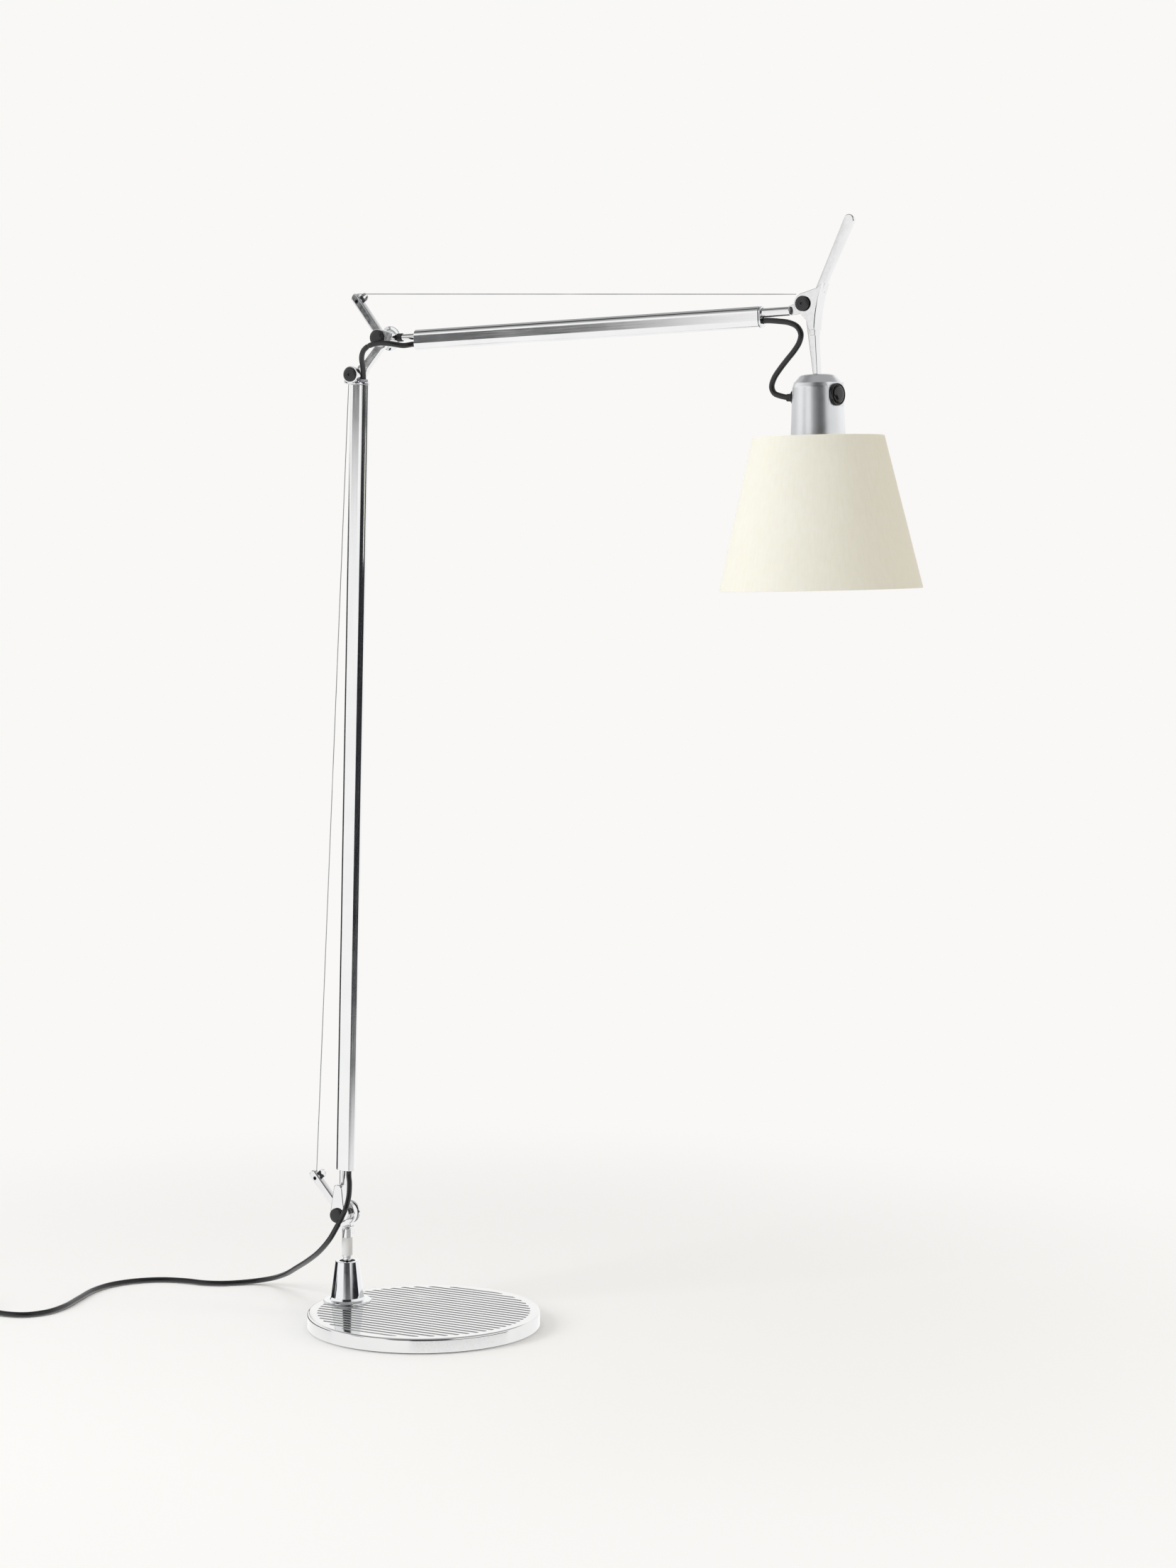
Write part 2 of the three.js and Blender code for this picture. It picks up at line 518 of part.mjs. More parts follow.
// ---------------------------------------------------------------- lower arm
function makeLowerArm(parent) {
  const arm = frameAt(parent, LOWER_HINGE, LOWER_LEAN);
  const top = LOWER_TUBE_END;
  piece(arm, 'lower_hinge_cap', capSolid(CAP_Y, CAP_RADIUS, 0), 'black');
  piece(arm, 'lower_knuckle', knuckleSolid(KNUCKLE_LENGTH, ROD_SIDE, LOWER_TUBE_START + 30), 'polished');

  const tube = cut(
    slotBar(0, LOWER_TUBE_SHIFT, LOWER_TUBE_START, top),
    slotBar(-TUBE_WALL, LOWER_TUBE_SHIFT, LOWER_TUBE_START - 1, top + 1),
  );
  piece(arm, 'lower_arm_tube', tube, 'polished');

  const rodHole = barZ(ROD_RADIUS + GAP, 0, top + 20, ROD_SIDE);
  const leadHole = barZ(LEAD_RADIUS + GAP, 0, top + 20, LEAD_SIDE);
  const inside = -TUBE_WALL - GAP;
  const plugStart = LOWER_TUBE_START + 0.5;
  const plug = slotBar(inside, LOWER_TUBE_SHIFT, plugStart, plugStart + PLUG_THICKNESS);
  piece(arm, 'lower_tube_plug', cut(plug, rodHole, leadHole), 'satin');

  // the elbow fitting: a cap plate, a spigot in the rod's channel, and the front eye
  const eyeZ = LOWER_LENGTH;
  const eyeX = ELBOW_SIDE;
  const rollerX = LOWER_TUBE_SHIFT - TUBE_HEIGHT / 2 + 0.2;
  const rollerZ = top + GAP + 2.4 + ROLLER_RADIUS + GAP;
  const plate = slotBar(0, LOWER_TUBE_SHIFT, top + GAP, top + GAP + 2.4);
  const spigot = barZ(SPIGOT_RADIUS, top - 22, top + 1, ROD_SIDE);
  const eye = barY(EYE_RADIUS, ...CHEEK_Y, eyeX, eyeZ, 24);
  const web = box([rollerX - 2, eyeX + 5.5], [CHEEK_Y[0] + 0.5, CHEEK_Y[1]], [top + 0.8, rollerZ + 2]);
  const rollerPin = barY(ROLLER_BORE - GAP, CHEEK_Y[1] - 2, WIRE_Y + 2.2, rollerX, rollerZ, 12);
  const ledge = box([eyeX - 5.5, eyeX + 4.5], [CHEEK_Y[0] + 0.5, 3], [top + GAP, top + GAP + 2.4]);
  const collar = barZ(FERRULE_RADIUS + GAP, top - 1, top + 20, LEAD_SIDE);
  const fitting = cut(join(plate, spigot, eye, web, ledge, rollerPin), collar,
    barY(HOLE_RADIUS, -20, 20, eyeX, eyeZ));
  piece(arm, 'elbow_fitting', fitting, 'polished');

  const ferrule = turned([
    [LEAD_RADIUS + GAP, top - 4], [FERRULE_NECK, top - 4],
    [FERRULE_NECK, top + GAP], [FERRULE_RADIUS, top + GAP],
    [FERRULE_RADIUS, top + FERRULE_HEIGHT - 0.6], [FERRULE_RADIUS - 0.6, top + FERRULE_HEIGHT],
    [LEAD_RADIUS + GAP, top + FERRULE_HEIGHT],
  ]).translate([LEAD_SIDE, 0, 0]);
  piece(arm, 'lead_ferrule', ferrule, 'clear');
  const roller = rollerSolid([WIRE_Y - 1.8, WIRE_Y + 1.8], ROLLER_BORE, ROLLER_RADIUS);
  piece(arm, 'lower_wire_roller', roller.translate([rollerX, 0, rollerZ]), 'steel');

  piece(arm, 'lower_spring', springSolid(LOWER_TUBE_START + 420, 330, ROD_SIDE), 'steel');
  const lead = barZ(LEAD_RADIUS, plugStart + GAP, top - 5, LEAD_SIDE, 0, 12);
  piece(arm, 'lower_arm_lead', lead, 'black');

  const pivot = frameAt(arm, [eyeX, eyeZ], 0);
  piece(pivot, 'elbow_lower_pin', pinSolid(CHEEK_Y[0], OUTER_Y[1]), 'steel');
  piece(pivot, 'elbow_lower_cap', capSolid([CAP_Y[0] + 1, CAP_Y[1]], CAP_RADIUS - 0.5, 1.2), 'black');
}

// ---------------------------------------------------------------- elbow
function makeElbow(parent) {
  const link = frameAt(parent, ELBOW_LOWER, 90 - LINK_ANGLE);
  const bar = strap(LINK_END, LINK_END, LINK_LENGTH, OUTER_Y);
  const waist = LINK_LENGTH - 2 * EYE_RADIUS;
  const side = EYE_RADIUS + 1.5;
  const trims = [-1, 1].map((way) => box(
    [way > 0 ? 4.2 : -4.2 - side, way > 0 ? 4.2 + side : -4.2],
    [0, 20], [EYE_RADIUS, EYE_RADIUS + waist]));
  const holes = [0, LINK_LENGTH].map((z) => barY(HOLE_RADIUS, -20, 20, 0, z));
  piece(link, 'elbow_link', cut(bar, ...trims, ...holes), 'polished');

  const lever = frameAt(parent, ELBOW_UPPER, 90 - UPPER_LEVER_ANGLE);
  piece(lever, 'elbow_lever', leverSolid(), 'polished');
  piece(lever, 'elbow_set_screw', setScrewSolid(), 'black');

  const hinge = frameAt(parent, ELBOW_UPPER, 0);
  piece(hinge, 'elbow_upper_pin', pinSolid(CHEEK_Y[0], KNOB_Y[1] - 0.5), 'steel');
  piece(hinge, 'elbow_knob', knobSolid(KNOB_Y), 'chrome');
}

// ---------------------------------------------------------------- upper arm
function makeUpperArm(parent) {
  const arm = frameAt(parent, ELBOW_UPPER, -UPPER_RISE);
  const centre = -UPPER_TUBE_DROP; // height of the tube's axis in this frame
  const rodUp = centre + TUBE_SPREAD;
  const leadUp = centre - TUBE_SPREAD;
  piece(arm, 'elbow_upper_cap', capSolid(CAP_Y, CAP_RADIUS, 0), 'black');
  const knuckle = knuckleSolid(UPPER_KNUCKLE_LENGTH, rodUp, UPPER_TUBE_START + 30);
  piece(arm, 'upper_knuckle', layDown(knuckle), 'polished');
  const ringStart = UPPER_KNUCKLE_LENGTH + 4 + GAP;
  const ring = turned([
    [ROD_RADIUS + 0.06, ringStart], [ROD_RADIUS + 0.9, ringStart],
    [ROD_RADIUS + 0.9, ringStart + RING_WIDTH], [ROD_RADIUS + 0.06, ringStart + RING_WIDTH],
  ]).translate([rodUp, 0, 0]);
  piece(arm, 'upper_rod_ring', layDown(ring), 'rubber');

  const start = UPPER_TUBE_START;
  const end = UPPER_TUBE_END;
  const tube = cut(slotBar(0, centre, start, end), slotBar(-TUBE_WALL, centre, start - 1, end + 1));
  piece(arm, 'upper_arm_tube', layDown(tube), 'polished');

  const leadHole = barZ(LEAD_RADIUS + GAP, 0, end + 20, leadUp);
  const inside = -TUBE_WALL - GAP;
  const rear = slotBar(inside, centre, start + 0.5, start + 0.5 + PLUG_THICKNESS);
  const rearPlug = cut(rear, leadHole, barZ(ROD_RADIUS + GAP, 0, end, rodUp));
  piece(arm, 'upper_rear_plug', layDown(rearPlug), 'satin');
  const collar = slotBar(-0.3, centre, end + GAP, end + GAP + 2.2);
  const neck = slotBar(inside, centre, end - 5, end + 1);
  const front = cut(join(collar, neck), leadHole, barZ(FRONT_ROD_RADIUS + GAP, 0, end + 20, rodUp));
  piece(arm, 'upper_front_plug', layDown(front), 'chrome');

  piece(arm, 'upper_spring', layDown(springSolid(start + 70, 210, rodUp)), 'steel');
  const lead = barZ(LEAD_RADIUS, start + 0.5 + GAP, end + 2, leadUp, 0, 12);
  piece(arm, 'upper_arm_lead', layDown(lead), 'black');

  // the front rod rises into the eye that carries the head
  const rod = layDown(barZ(FRONT_ROD_RADIUS, end - 22, UPPER_LENGTH - 16, rodUp));
  const ramp = plateXZ(outline([
    [UPPER_LENGTH - 20, rodUp - FRONT_ROD_RADIUS + 0.2], [UPPER_LENGTH - 9, rodUp - 3.4],
    [UPPER_LENGTH - 3, HEAD_PIN_LIFT - 5.6], [UPPER_LENGTH - 3, HEAD_PIN_LIFT + 5.6],
    [UPPER_LENGTH - 11, HEAD_PIN_LIFT + 2], [UPPER_LENGTH - 20, rodUp + FRONT_ROD_RADIUS - 0.2],
  ]), HEAD_EYE_Y);
  const eye = barY(EYE_RADIUS - 1.6, ...HEAD_EYE_Y, UPPER_LENGTH, HEAD_PIN_LIFT);
  const rodEnd = cut(join(rod, ramp, eye), barY(HOLE_RADIUS, -20, 20, UPPER_LENGTH, HEAD_PIN_LIFT));
  piece(arm, 'upper_front_rod', rodEnd, 'polished');

  const pivot = frameAt(arm, [UPPER_LENGTH, HEAD_PIN_LIFT], 0);
  const roller = rollerSolid([-SLOT_HALF + GAP, HEAD_EYE_Y[0] - GAP], HOLE_RADIUS, PULLEY_RADIUS);
  piece(pivot, 'upper_wire_roller', roller, 'steel');
}

// ---------------------------------------------------------------- head
function makeHead(parent) {
  const head = frameAt(parent, HEAD_PIN, -HEAD_TILT);
  piece(head, 'head_pin', pinSolid(-BRACKET_HALF - 1, BRACKET_HALF + 1), 'steel');
  const capSides = [-BRACKET_HALF - 3.4, -BRACKET_HALF - 1 - GAP];
  piece(head, 'head_cap', capSolid(capSides, CAP_RADIUS - 0.5, 1.2), 'black');
  piece(head, 'head_bracket', bracketSolid(), 'polished');

  const axis = new THREE.Group();
  axis.position.x = HEAD_SHIFT;
  head.add(axis);
  makeHousing(axis);
  makeShade(axis);
}

// The clevis on the head pin, with the curved front, the neck and the handle.
function bracketSolid() {
  const front = HEAD_SHIFT + 1.7;
  const shape = new THREE.Shape();
  shape.absarc(0, 0, EYE_RADIUS + 1, 0.75 * Math.PI, 1.4 * Math.PI, false);
  shape.lineTo(2.6, -15);
  shape.lineTo(front - 6, -24);
  shape.lineTo(front - 0.4, -24);
  shape.quadraticCurveTo(front + 0.4, -3, front + 8.4, 17.5);
  shape.lineTo(front + 2.5, 13.5);
  shape.lineTo(-3, 9.2);
  const block = plateXZ(shape, [-BRACKET_HALF, BRACKET_HALF], 12);
  const neck = plateXZ(outline([
    [0.8, -13], [HEAD_SHIFT - 2.4, -NECK_END], [HEAD_SHIFT + 2.4, -NECK_END],
    [front - 0.6, -26], [front - 0.4, -20],
  ]), [-4.6, 4.6]);
  const chamfer = plateXZ(outline([
    [4, -24], [front - 0.4, -24], [front - 0.7, -28.5], [5.4, -28.5],
  ]), [-BRACKET_HALF + 2, BRACKET_HALF - 2]);
  const lean = radians(HANDLE_LEAN);
  const handle = strap(HANDLE_ROOT, HANDLE_TIP, HANDLE_LENGTH, [-HANDLE_HALF, HANDLE_HALF])
    .rotate([0, 90 - HANDLE_LEAN, 0]).translate([front + 2.6 - Math.cos(lean) * 4, 0, 9]);
  const slot = box([-20, 9.2], [-SLOT_HALF, SLOT_HALF], [-10, 9.4]);
  const body = cut(join(block, neck, chamfer), slot);
  return cut(join(body, cut(handle, slot)), barY(HOLE_RADIUS, -20, 20));
}

function makeHousing(axis) {
  const top = HOUSING_TOP;
  const end = HOUSING_END;
  const [shoulder, drop] = HOUSING_SHOULDER;
  const wall = HOUSING_WALL;
  const shell = turned([
    [0, top], [HOUSING_TOP_RADIUS, top], [HOUSING_TOP_RADIUS + 2, top - 0.7],
    [shoulder - 1.4, top - drop + 2], [shoulder, top - drop - 0.6], [HOUSING_RADIUS, end],
    [HOUSING_RADIUS - wall, end], [shoulder - wall, top - drop - 1], [HOUSING_TOP_RADIUS, top - wall - 1],
    [0, top - wall - 1],
  ], FINE);
  const half = SWITCH_PAD / 2;
  const sides = [-half, half];
  const pad = box([SWITCH_FACE - 5, SWITCH_FACE], sides, [SWITCH_Z - half, SWITCH_Z + half]);
  const clear = box([SWITCH_FACE, 40], [-half, half], [SWITCH_Z - half, SWITCH_Z + half]);
  const room = box([0, SWITCH_FACE - 2.2], [-half + 2, half - 2], [SWITCH_Z - half + 2, SWITCH_Z + half - 2]);
  const turnedSwitch = (manifold) => manifold.rotate([0, 0, SWITCH_TURN]);
  const holes = [
    turnedSwitch(barX(BUTTON_RADIUS + GAP, 0, 40, 0, SWITCH_Z)),
    barX(GROMMET_NECK + GAP, -40, 0, 0, GROMMET_Z),
    barZ(2 + GAP, top - 10, top + 1),
  ];
  const padded = join(cut(shell, turnedSwitch(clear)), turnedSwitch(pad));
  piece(axis, 'lamp_housing', cut(padded, turnedSwitch(room), ...holes), 'satin');

  const screw = join(barZ(2, top - wall - 2, top), barZ(3.6, top - wall - 4, top - wall - 1 - GAP));
  piece(axis, 'neck_screw', screw, 'steel');

  const ring = turned([
    [BUTTON_RADIUS + GAP, 0], [SWITCH_RING - 0.3, 0], [SWITCH_RING, 0.4], [SWITCH_RING, 1.9],
    [SWITCH_RING - 0.8, 2.6], [BUTTON_RADIUS + GAP, 2.6],
  ], 24).rotate([0, 90, 0]).translate([SWITCH_FACE + GAP, 0, SWITCH_Z]);
  piece(axis, 'switch_ring', turnedSwitch(ring), 'black');
  const buttonFoot = SWITCH_FACE + GAP - 1.2;
  const button = turned([
    [0, 0], [BUTTON_RADIUS, 0], [BUTTON_RADIUS, 4.2], [BUTTON_RADIUS - 0.7, 4.9],
    [BUTTON_RADIUS * 0.6, 5.3], [0, 5.4],
  ], 24).rotate([0, 90, 0]).translate([buttonFoot, 0, SWITCH_Z]);
  piece(axis, 'switch_button', turnedSwitch(button), 'black');
  const bodyFront = buttonFoot - BUTTON_TRAVEL - GAP;
  const body = box([bodyFront - 8, bodyFront], [-7, 7], [SWITCH_Z - 7, SWITCH_Z + 7]);
  piece(axis, 'switch_body', turnedSwitch(body), 'black');

  const wallX = shoulder + (HOUSING_RADIUS - shoulder) * ((GROMMET_DROP - drop) / (HOUSING_HEIGHT - drop));
  const grommet = turned([
    [LEAD_RADIUS + 0.1, -3], [GROMMET_NECK, -3], [GROMMET_NECK, GAP + 0.3], [GROMMET_FLANGE, GAP + 0.3],
    [GROMMET_FLANGE, GAP + 1.2], [LEAD_RADIUS + 1.6, GAP + 3.2], [LEAD_RADIUS + 0.1, GAP + 3.2],
  ]).rotate([0, -90, 0]).translate([-wallX, 0, GROMMET_Z]);
  piece(axis, 'lead_grommet', grommet, 'rubber');

  const socketTop = SWITCH_Z - SWITCH_PAD / 2 - 1;
  const socket = turned([
    [0, socketTop], [9, socketTop], [SOCKET_RADIUS, socketTop - 6], [SOCKET_RADIUS, SOCKET_END],
    [SOCKET_MOUTH, SOCKET_END], [SOCKET_MOUTH, socketTop - 20], [0, socketTop - 20],
  ], 24);
  piece(axis, 'lamp_socket', socket, 'ceramic');
}

function makeShade(axis) {
  // the carrier: a centre ring clamped on the socket, three arms, and the ring that holds the shade
  const ringTop = -SHADE_TOP - CARRIER_DROP;
  const grow = (SHADE_BOTTOM_RADIUS - SHADE_TOP_RADIUS) / SHADE_HEIGHT;
  const radiusAt = (z) => SHADE_TOP_RADIUS + grow * (-SHADE_TOP - z);
  const rim = radiusAt(ringTop) - SHADE_WALL - GAP;
  const outer = turned([
    [rim - 2.6, ringTop - 2.5], [rim, ringTop - 2.5], [rim, ringTop], [rim - 2.6, ringTop],
  ], FINE);
  const hub = turned([
    [SOCKET_RADIUS + GAP, CARRIER_HUB - 1.6], [HUB_RADIUS, CARRIER_HUB - 1.6],
    [HUB_RADIUS, CARRIER_HUB], [SOCKET_RADIUS + GAP, CARRIER_HUB],
  ], FINE);
  const spoke = plateXZ(outline([
    [HUB_RADIUS - 1.5, CARRIER_HUB - 1.6], [rim - 1, ringTop - 2.5], [rim - 1, ringTop - 0.5],
    [HUB_RADIUS - 1.5, CARRIER_HUB],
  ]), [-2, 2]);
  const spokes = [90, 210, 330].map((turn) => spoke.rotate([0, 0, turn]));
  piece(axis, 'shade_carrier', join(outer, hub, ...spokes), 'satin');

  const nutTop = CARRIER_HUB - 1.6 - GAP;
  const nut = turned([
    [SOCKET_RADIUS + GAP, nutTop - 6], [HUB_RADIUS - 1, nutTop - 6], [HUB_RADIUS - 1, nutTop],
    [SOCKET_RADIUS + GAP, nutTop],
  ], 24);
  piece(axis, 'shade_ring_nut', nut, 'ceramic');

  const shade = turned([
    [SHADE_TOP_RADIUS, -SHADE_TOP], [SHADE_BOTTOM_RADIUS, SHADE_END],
    [SHADE_BOTTOM_RADIUS - SHADE_WALL, SHADE_END], [SHADE_TOP_RADIUS - SHADE_WALL, -SHADE_TOP],
  ], 64);
  piece(axis, 'shade', shade, 'parchment');

  const globe = [[0, BULB_END]];
  for (let i = 1; i <= 6; i += 1) {
    const turn = -Math.PI / 2 + (Math.PI * 0.75 * i) / 6;
    globe.push([BULB_RADIUS * Math.cos(turn), BULB_END + BULB_RADIUS * (1 + Math.sin(turn))]);
  }
  const bulb = turned([
    ...globe, [14.5, SOCKET_END - 3], [SOCKET_MOUTH - GAP, SOCKET_END - 1.5],
    [SOCKET_MOUTH - GAP, SOCKET_END + 16], [5, SOCKET_END + 20], [0, SOCKET_END + 20],
  ], 24);
  piece(axis, 'bulb', bulb, 'opal');
}

// ---------------------------------------------------------------- balance wires
// Each wire is two straight lengths that meet in the middle.
function makeWire(parent, names, [x0, z0], [x1, z1]) {
  const middle = [(x0 + x1) / 2, (z0 + z1) / 2];
  const unit = new THREE.Vector2(x1 - x0, z1 - z0).normalize();
  const ends = [
    [[x0, z0], [middle[0] - unit.x * GAP / 2, middle[1] - unit.y * GAP / 2]],
    [[middle[0] + unit.x * GAP / 2, middle[1] + unit.y * GAP / 2], [x1, z1]],
  ];
  ends.forEach(([[ax, az], [bx, bz]], i) => {
    const line = new THREE.LineCurve3(
      new THREE.Vector3(ax, WIRE_Y, az), new THREE.Vector3(bx, WIRE_Y, bz));
    const ring = [];
    for (let k = 0; k < 8; k += 1) {
      const turn = (Math.PI / 4) * k;
      ring.push(new THREE.Vector2(WIRE_RADIUS * Math.cos(turn), WIRE_RADIUS * Math.sin(turn)));
    }
    const wire = new THREE.ExtrudeGeometry(new THREE.Shape(ring), { steps: 1, extrudePath: line });
    piece(parent, names[i], solid(wire), 'steel');
  });
}

function leverPoint([x, z], angle, along, across) {
  const turn = radians(angle);
  return [
    x + along * Math.cos(turn) + across * Math.sin(turn),
    z + along * Math.sin(turn) - across * Math.cos(turn),
  ];
}

function makeWires(parent) {
  const reach = LEVER_LENGTH + LEVER_WIDTH / 2;
  const lowerEnd = leverPoint(LOWER_HINGE, LOWER_LEVER_ANGLE, reach - 3, LEVER_WIDTH / 2 + 0.6);
  const upperEnd = leverPoint(ELBOW_UPPER, UPPER_LEVER_ANGLE, reach - 3, LEVER_WIDTH / 2 + 0.6);
  const clear = PULLEY_RADIUS + 1.2;
  const lowerTop = [LOWER_TUBE_SHIFT - TUBE_HEIGHT / 2 + 0.2 - ROLLER_RADIUS, LOWER_TUBE_END + 5];
  makeWire(parent, ['lower_wire_foot', 'lower_wire_top'], lowerEnd,
    at(LOWER_HINGE, LOWER_LEAN, lowerTop));
  makeWire(parent, ['upper_wire_rear', 'upper_wire_front'], upperEnd,
    [HEAD_PIN[0] - 11, HEAD_PIN[1] + clear]);
}

// ---------------------------------------------------------------- leads and plug
const vectors = (rows) => rows.map(([x, y, z]) => new THREE.Vector3(x, y, z));

function makeLeads(parent) {
  const lower = (z) => inFrame(LOWER_HINGE, LOWER_LEAN, [LEAD_SIDE, 0, z]);
  const upper = (x) => inFrame(ELBOW_UPPER, -UPPER_RISE, [x, 0, -UPPER_TUBE_DROP - TUBE_SPREAD]);
  const house = (x) => inFrame(HEAD_PIN, -HEAD_TILT, [x, 0, GROMMET_Z]);

  const mains = [
    lower(LOWER_TUBE_START + 0.3), lower(LOWER_TUBE_START - 6), ...MAINS_ROUTE, COIL_ENTRY,
  ];
  piece(parent, 'mains_lead', cordAlong(vectors(mains), LEAD_RADIUS, 14), 'black');

  const top = LOWER_TUBE_END;
  const elbow = [
    lower(top - 4.5), lower(top + 1), lower(top + FERRULE_HEIGHT + 1), ...ELBOW_ROUTE,
    upper(UPPER_TUBE_START - 5), upper(UPPER_TUBE_START + 0.3),
  ];
  piece(parent, 'elbow_lead', cordAlong(vectors(elbow), LEAD_RADIUS - 0.05, 7), 'black');

  const grommetFace = HEAD_SHIFT - HOUSING_SHOULDER[0] - 1;
  const head = [
    upper(UPPER_TUBE_END + 2.4), upper(UPPER_TUBE_END + 7), ...HEAD_ROUTE,
    house(grommetFace - 4), house(grommetFace + 3),
  ];
  piece(parent, 'head_lead', cordAlong(vectors(head), LEAD_RADIUS - 0.05, 7), 'black');

  const inner = COIL_RADIUS - COIL_WIDTH / 2;
  const outer = COIL_RADIUS + COIL_WIDTH / 2;
  const coil = turned([
    [inner + 2, 0], [outer - 2, 0], [outer, 2.5], [outer, COIL_HEIGHT - 2.5], [outer - 2, COIL_HEIGHT],
    [inner + 2, COIL_HEIGHT], [inner, COIL_HEIGHT - 2.5], [inner, 2.5],
  ], 32).translate([...COIL_CENTRE, 0]);
  piece(parent, 'mains_coil', coil, 'black');
  makePlug(parent);
}

// A flat two-pin mains plug that lies on its broad side, its pins towards -Y.
function makePlug(parent) {
  const x = COIL_CENTRE[0] - COIL_RADIUS;
  const y = COIL_CENTRE[1] - PLUG_START;
  const shape = new THREE.Shape([
    [-3.6, 0], [3.6, 0], [4.4, -12], [17.5, -24], [17.5, -36], [-17.5, -36], [-17.5, -24], [-4.4, -12],
  ].map(([px, py]) => new THREE.Vector2(px, py)));
  const bevel = {
    depth: PLUG_HEIGHT - 3, bevelThickness: 1.5, bevelSize: 1.2, bevelOffset: -1.2, bevelSegments: 1,
  };
  const body = solid(new THREE.ExtrudeGeometry(shape, bevel).translate(0, 0, 1.5));
  const pins = [-9.5, 9.5].map((px) => barY(2, -55, -35, px, PLUG_HEIGHT / 2, 12));
  piece(parent, 'mains_plug', join(body, ...pins).translate([x, y, 0]), 'black');
}


const lamp = new THREE.Group();
makeBase(lamp);
makeStem(lamp);
makeLowerArm(lamp);
makeElbow(lamp);
makeUpperArm(lamp);
makeHead(lamp);
makeWires(lamp);
makeLeads(lamp);

export default lamp;
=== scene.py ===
"""Looks for the adjustable arm floor lamp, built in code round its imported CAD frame.

Lengths are in millimetres until place() turns a piece into metres. +Z is up, +X is the way the
arms reach, and the black hinge caps are on the -Y side.
"""

import math

import bmesh
import bpy
from mathutils import Matrix, Vector

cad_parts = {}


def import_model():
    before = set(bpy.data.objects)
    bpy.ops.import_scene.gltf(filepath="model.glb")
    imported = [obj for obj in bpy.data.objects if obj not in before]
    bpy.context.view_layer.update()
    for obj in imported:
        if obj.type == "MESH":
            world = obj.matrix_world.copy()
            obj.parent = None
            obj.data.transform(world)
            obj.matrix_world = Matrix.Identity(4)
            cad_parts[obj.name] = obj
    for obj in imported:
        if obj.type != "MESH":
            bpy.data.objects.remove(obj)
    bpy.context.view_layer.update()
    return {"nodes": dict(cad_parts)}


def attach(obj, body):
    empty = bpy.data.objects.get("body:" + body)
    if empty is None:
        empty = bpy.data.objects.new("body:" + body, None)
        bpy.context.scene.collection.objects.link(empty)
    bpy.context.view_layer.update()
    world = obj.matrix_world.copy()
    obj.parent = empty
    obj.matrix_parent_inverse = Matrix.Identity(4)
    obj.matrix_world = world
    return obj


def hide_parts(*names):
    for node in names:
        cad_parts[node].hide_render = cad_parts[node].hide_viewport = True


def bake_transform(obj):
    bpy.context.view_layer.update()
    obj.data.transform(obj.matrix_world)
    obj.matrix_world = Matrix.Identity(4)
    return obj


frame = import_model()

# ------------------------------------------------------------------ sizes shared with the CAD
GAP = 0.3
BASE_RADIUS, BASE_BOTTOM, BASE_TOP = 115.0, 1.5, 15.5
GROOVE_EDGE, GROOVE_PITCH, GROOVE_HALF, GROOVE_DEPTH = 105.5, 8.4, 2.1, 0.6
STEM_X, CONE_RIM, BORE_FLOOR, CONE_BORE = -90.0, 56.5, 23.5, 7.85
STEM_RADIUS, SHAFT_RADIUS = 5.0, 4.4
EYE, PIN, HOLE = 8.5, 3.0, 3.3
LEVER_Y, CHEEK_Y, OUTER_Y = (-4.7, 2.3), (-11.5, -5.0), (2.6, 8.6)
KNOB_Y, CAP_Y = (8.9, 14.9), (-15.0, -11.8)
WIRE_Y = -1.2
LEAN, RISE, HEAD_TILT = 1.62, -1.86, -1.4
TUBE_DEPTH, SPREAD, WALL = 13.2, 3.6, 1.2
LOWER_SHIFT, LOWER_START, LOWER_END = 2.1, 44.8, 824.3
UPPER_CENTRE, UPPER_START, UPPER_END, UPPER_LENGTH = -4.2, 38.3, 408.8, 455.6
ROD_SIDE, LEAD_SIDE = LOWER_SHIFT - SPREAD, LOWER_SHIFT + SPREAD
ROD_UP, LEAD_UP = UPPER_CENTRE + SPREAD, UPPER_CENTRE - SPREAD
ROD, LEAD, FRONT_ROD = 3.1, 2.65, 4.3
LOWER_KNUCKLE, UPPER_KNUCKLE, RING_WIDTH = 26.0, 12.4, 5.4
LEVER_LENGTH, LINK_LENGTH = 50.0, 47.2
HEAD_SHIFT, PIN_LIFT = 9.4, 4.8
HOUSE_TOP, HOUSE_END = -64.3, -140.3
SWITCH_Z, SWITCH_FACE, SWITCH_HALF, SWITCH_TURN, GROMMET_Z = -82.9, 21.5, 11.0, -13.0, -83.8
SHADE_TOP, SHADE_END, SHADE_R0, SHADE_R1 = -120.0, -259.0, 60.0, 93.0
SOCKET_END, SOCKET_R, SOCKET_MOUTH = -152.3, 20.0, 13.4
HUB_Z, HUB_R = -143.3, 24.0
COIL_CENTRE, TIE_ANGLE = (-462.0, -200.0), 228.0


def turned_frame(origin, tilt):
    """Millimetre frame at (x, z), tilted about +Y by tilt degrees."""
    return Matrix.Translation((origin[0], 0, origin[1])) @ Matrix.Rotation(math.radians(tilt), 4, "Y")


def at(origin, tilt, x, z):
    point = turned_frame(origin, tilt) @ Vector((x, 0, z))
    return point.x, point.z


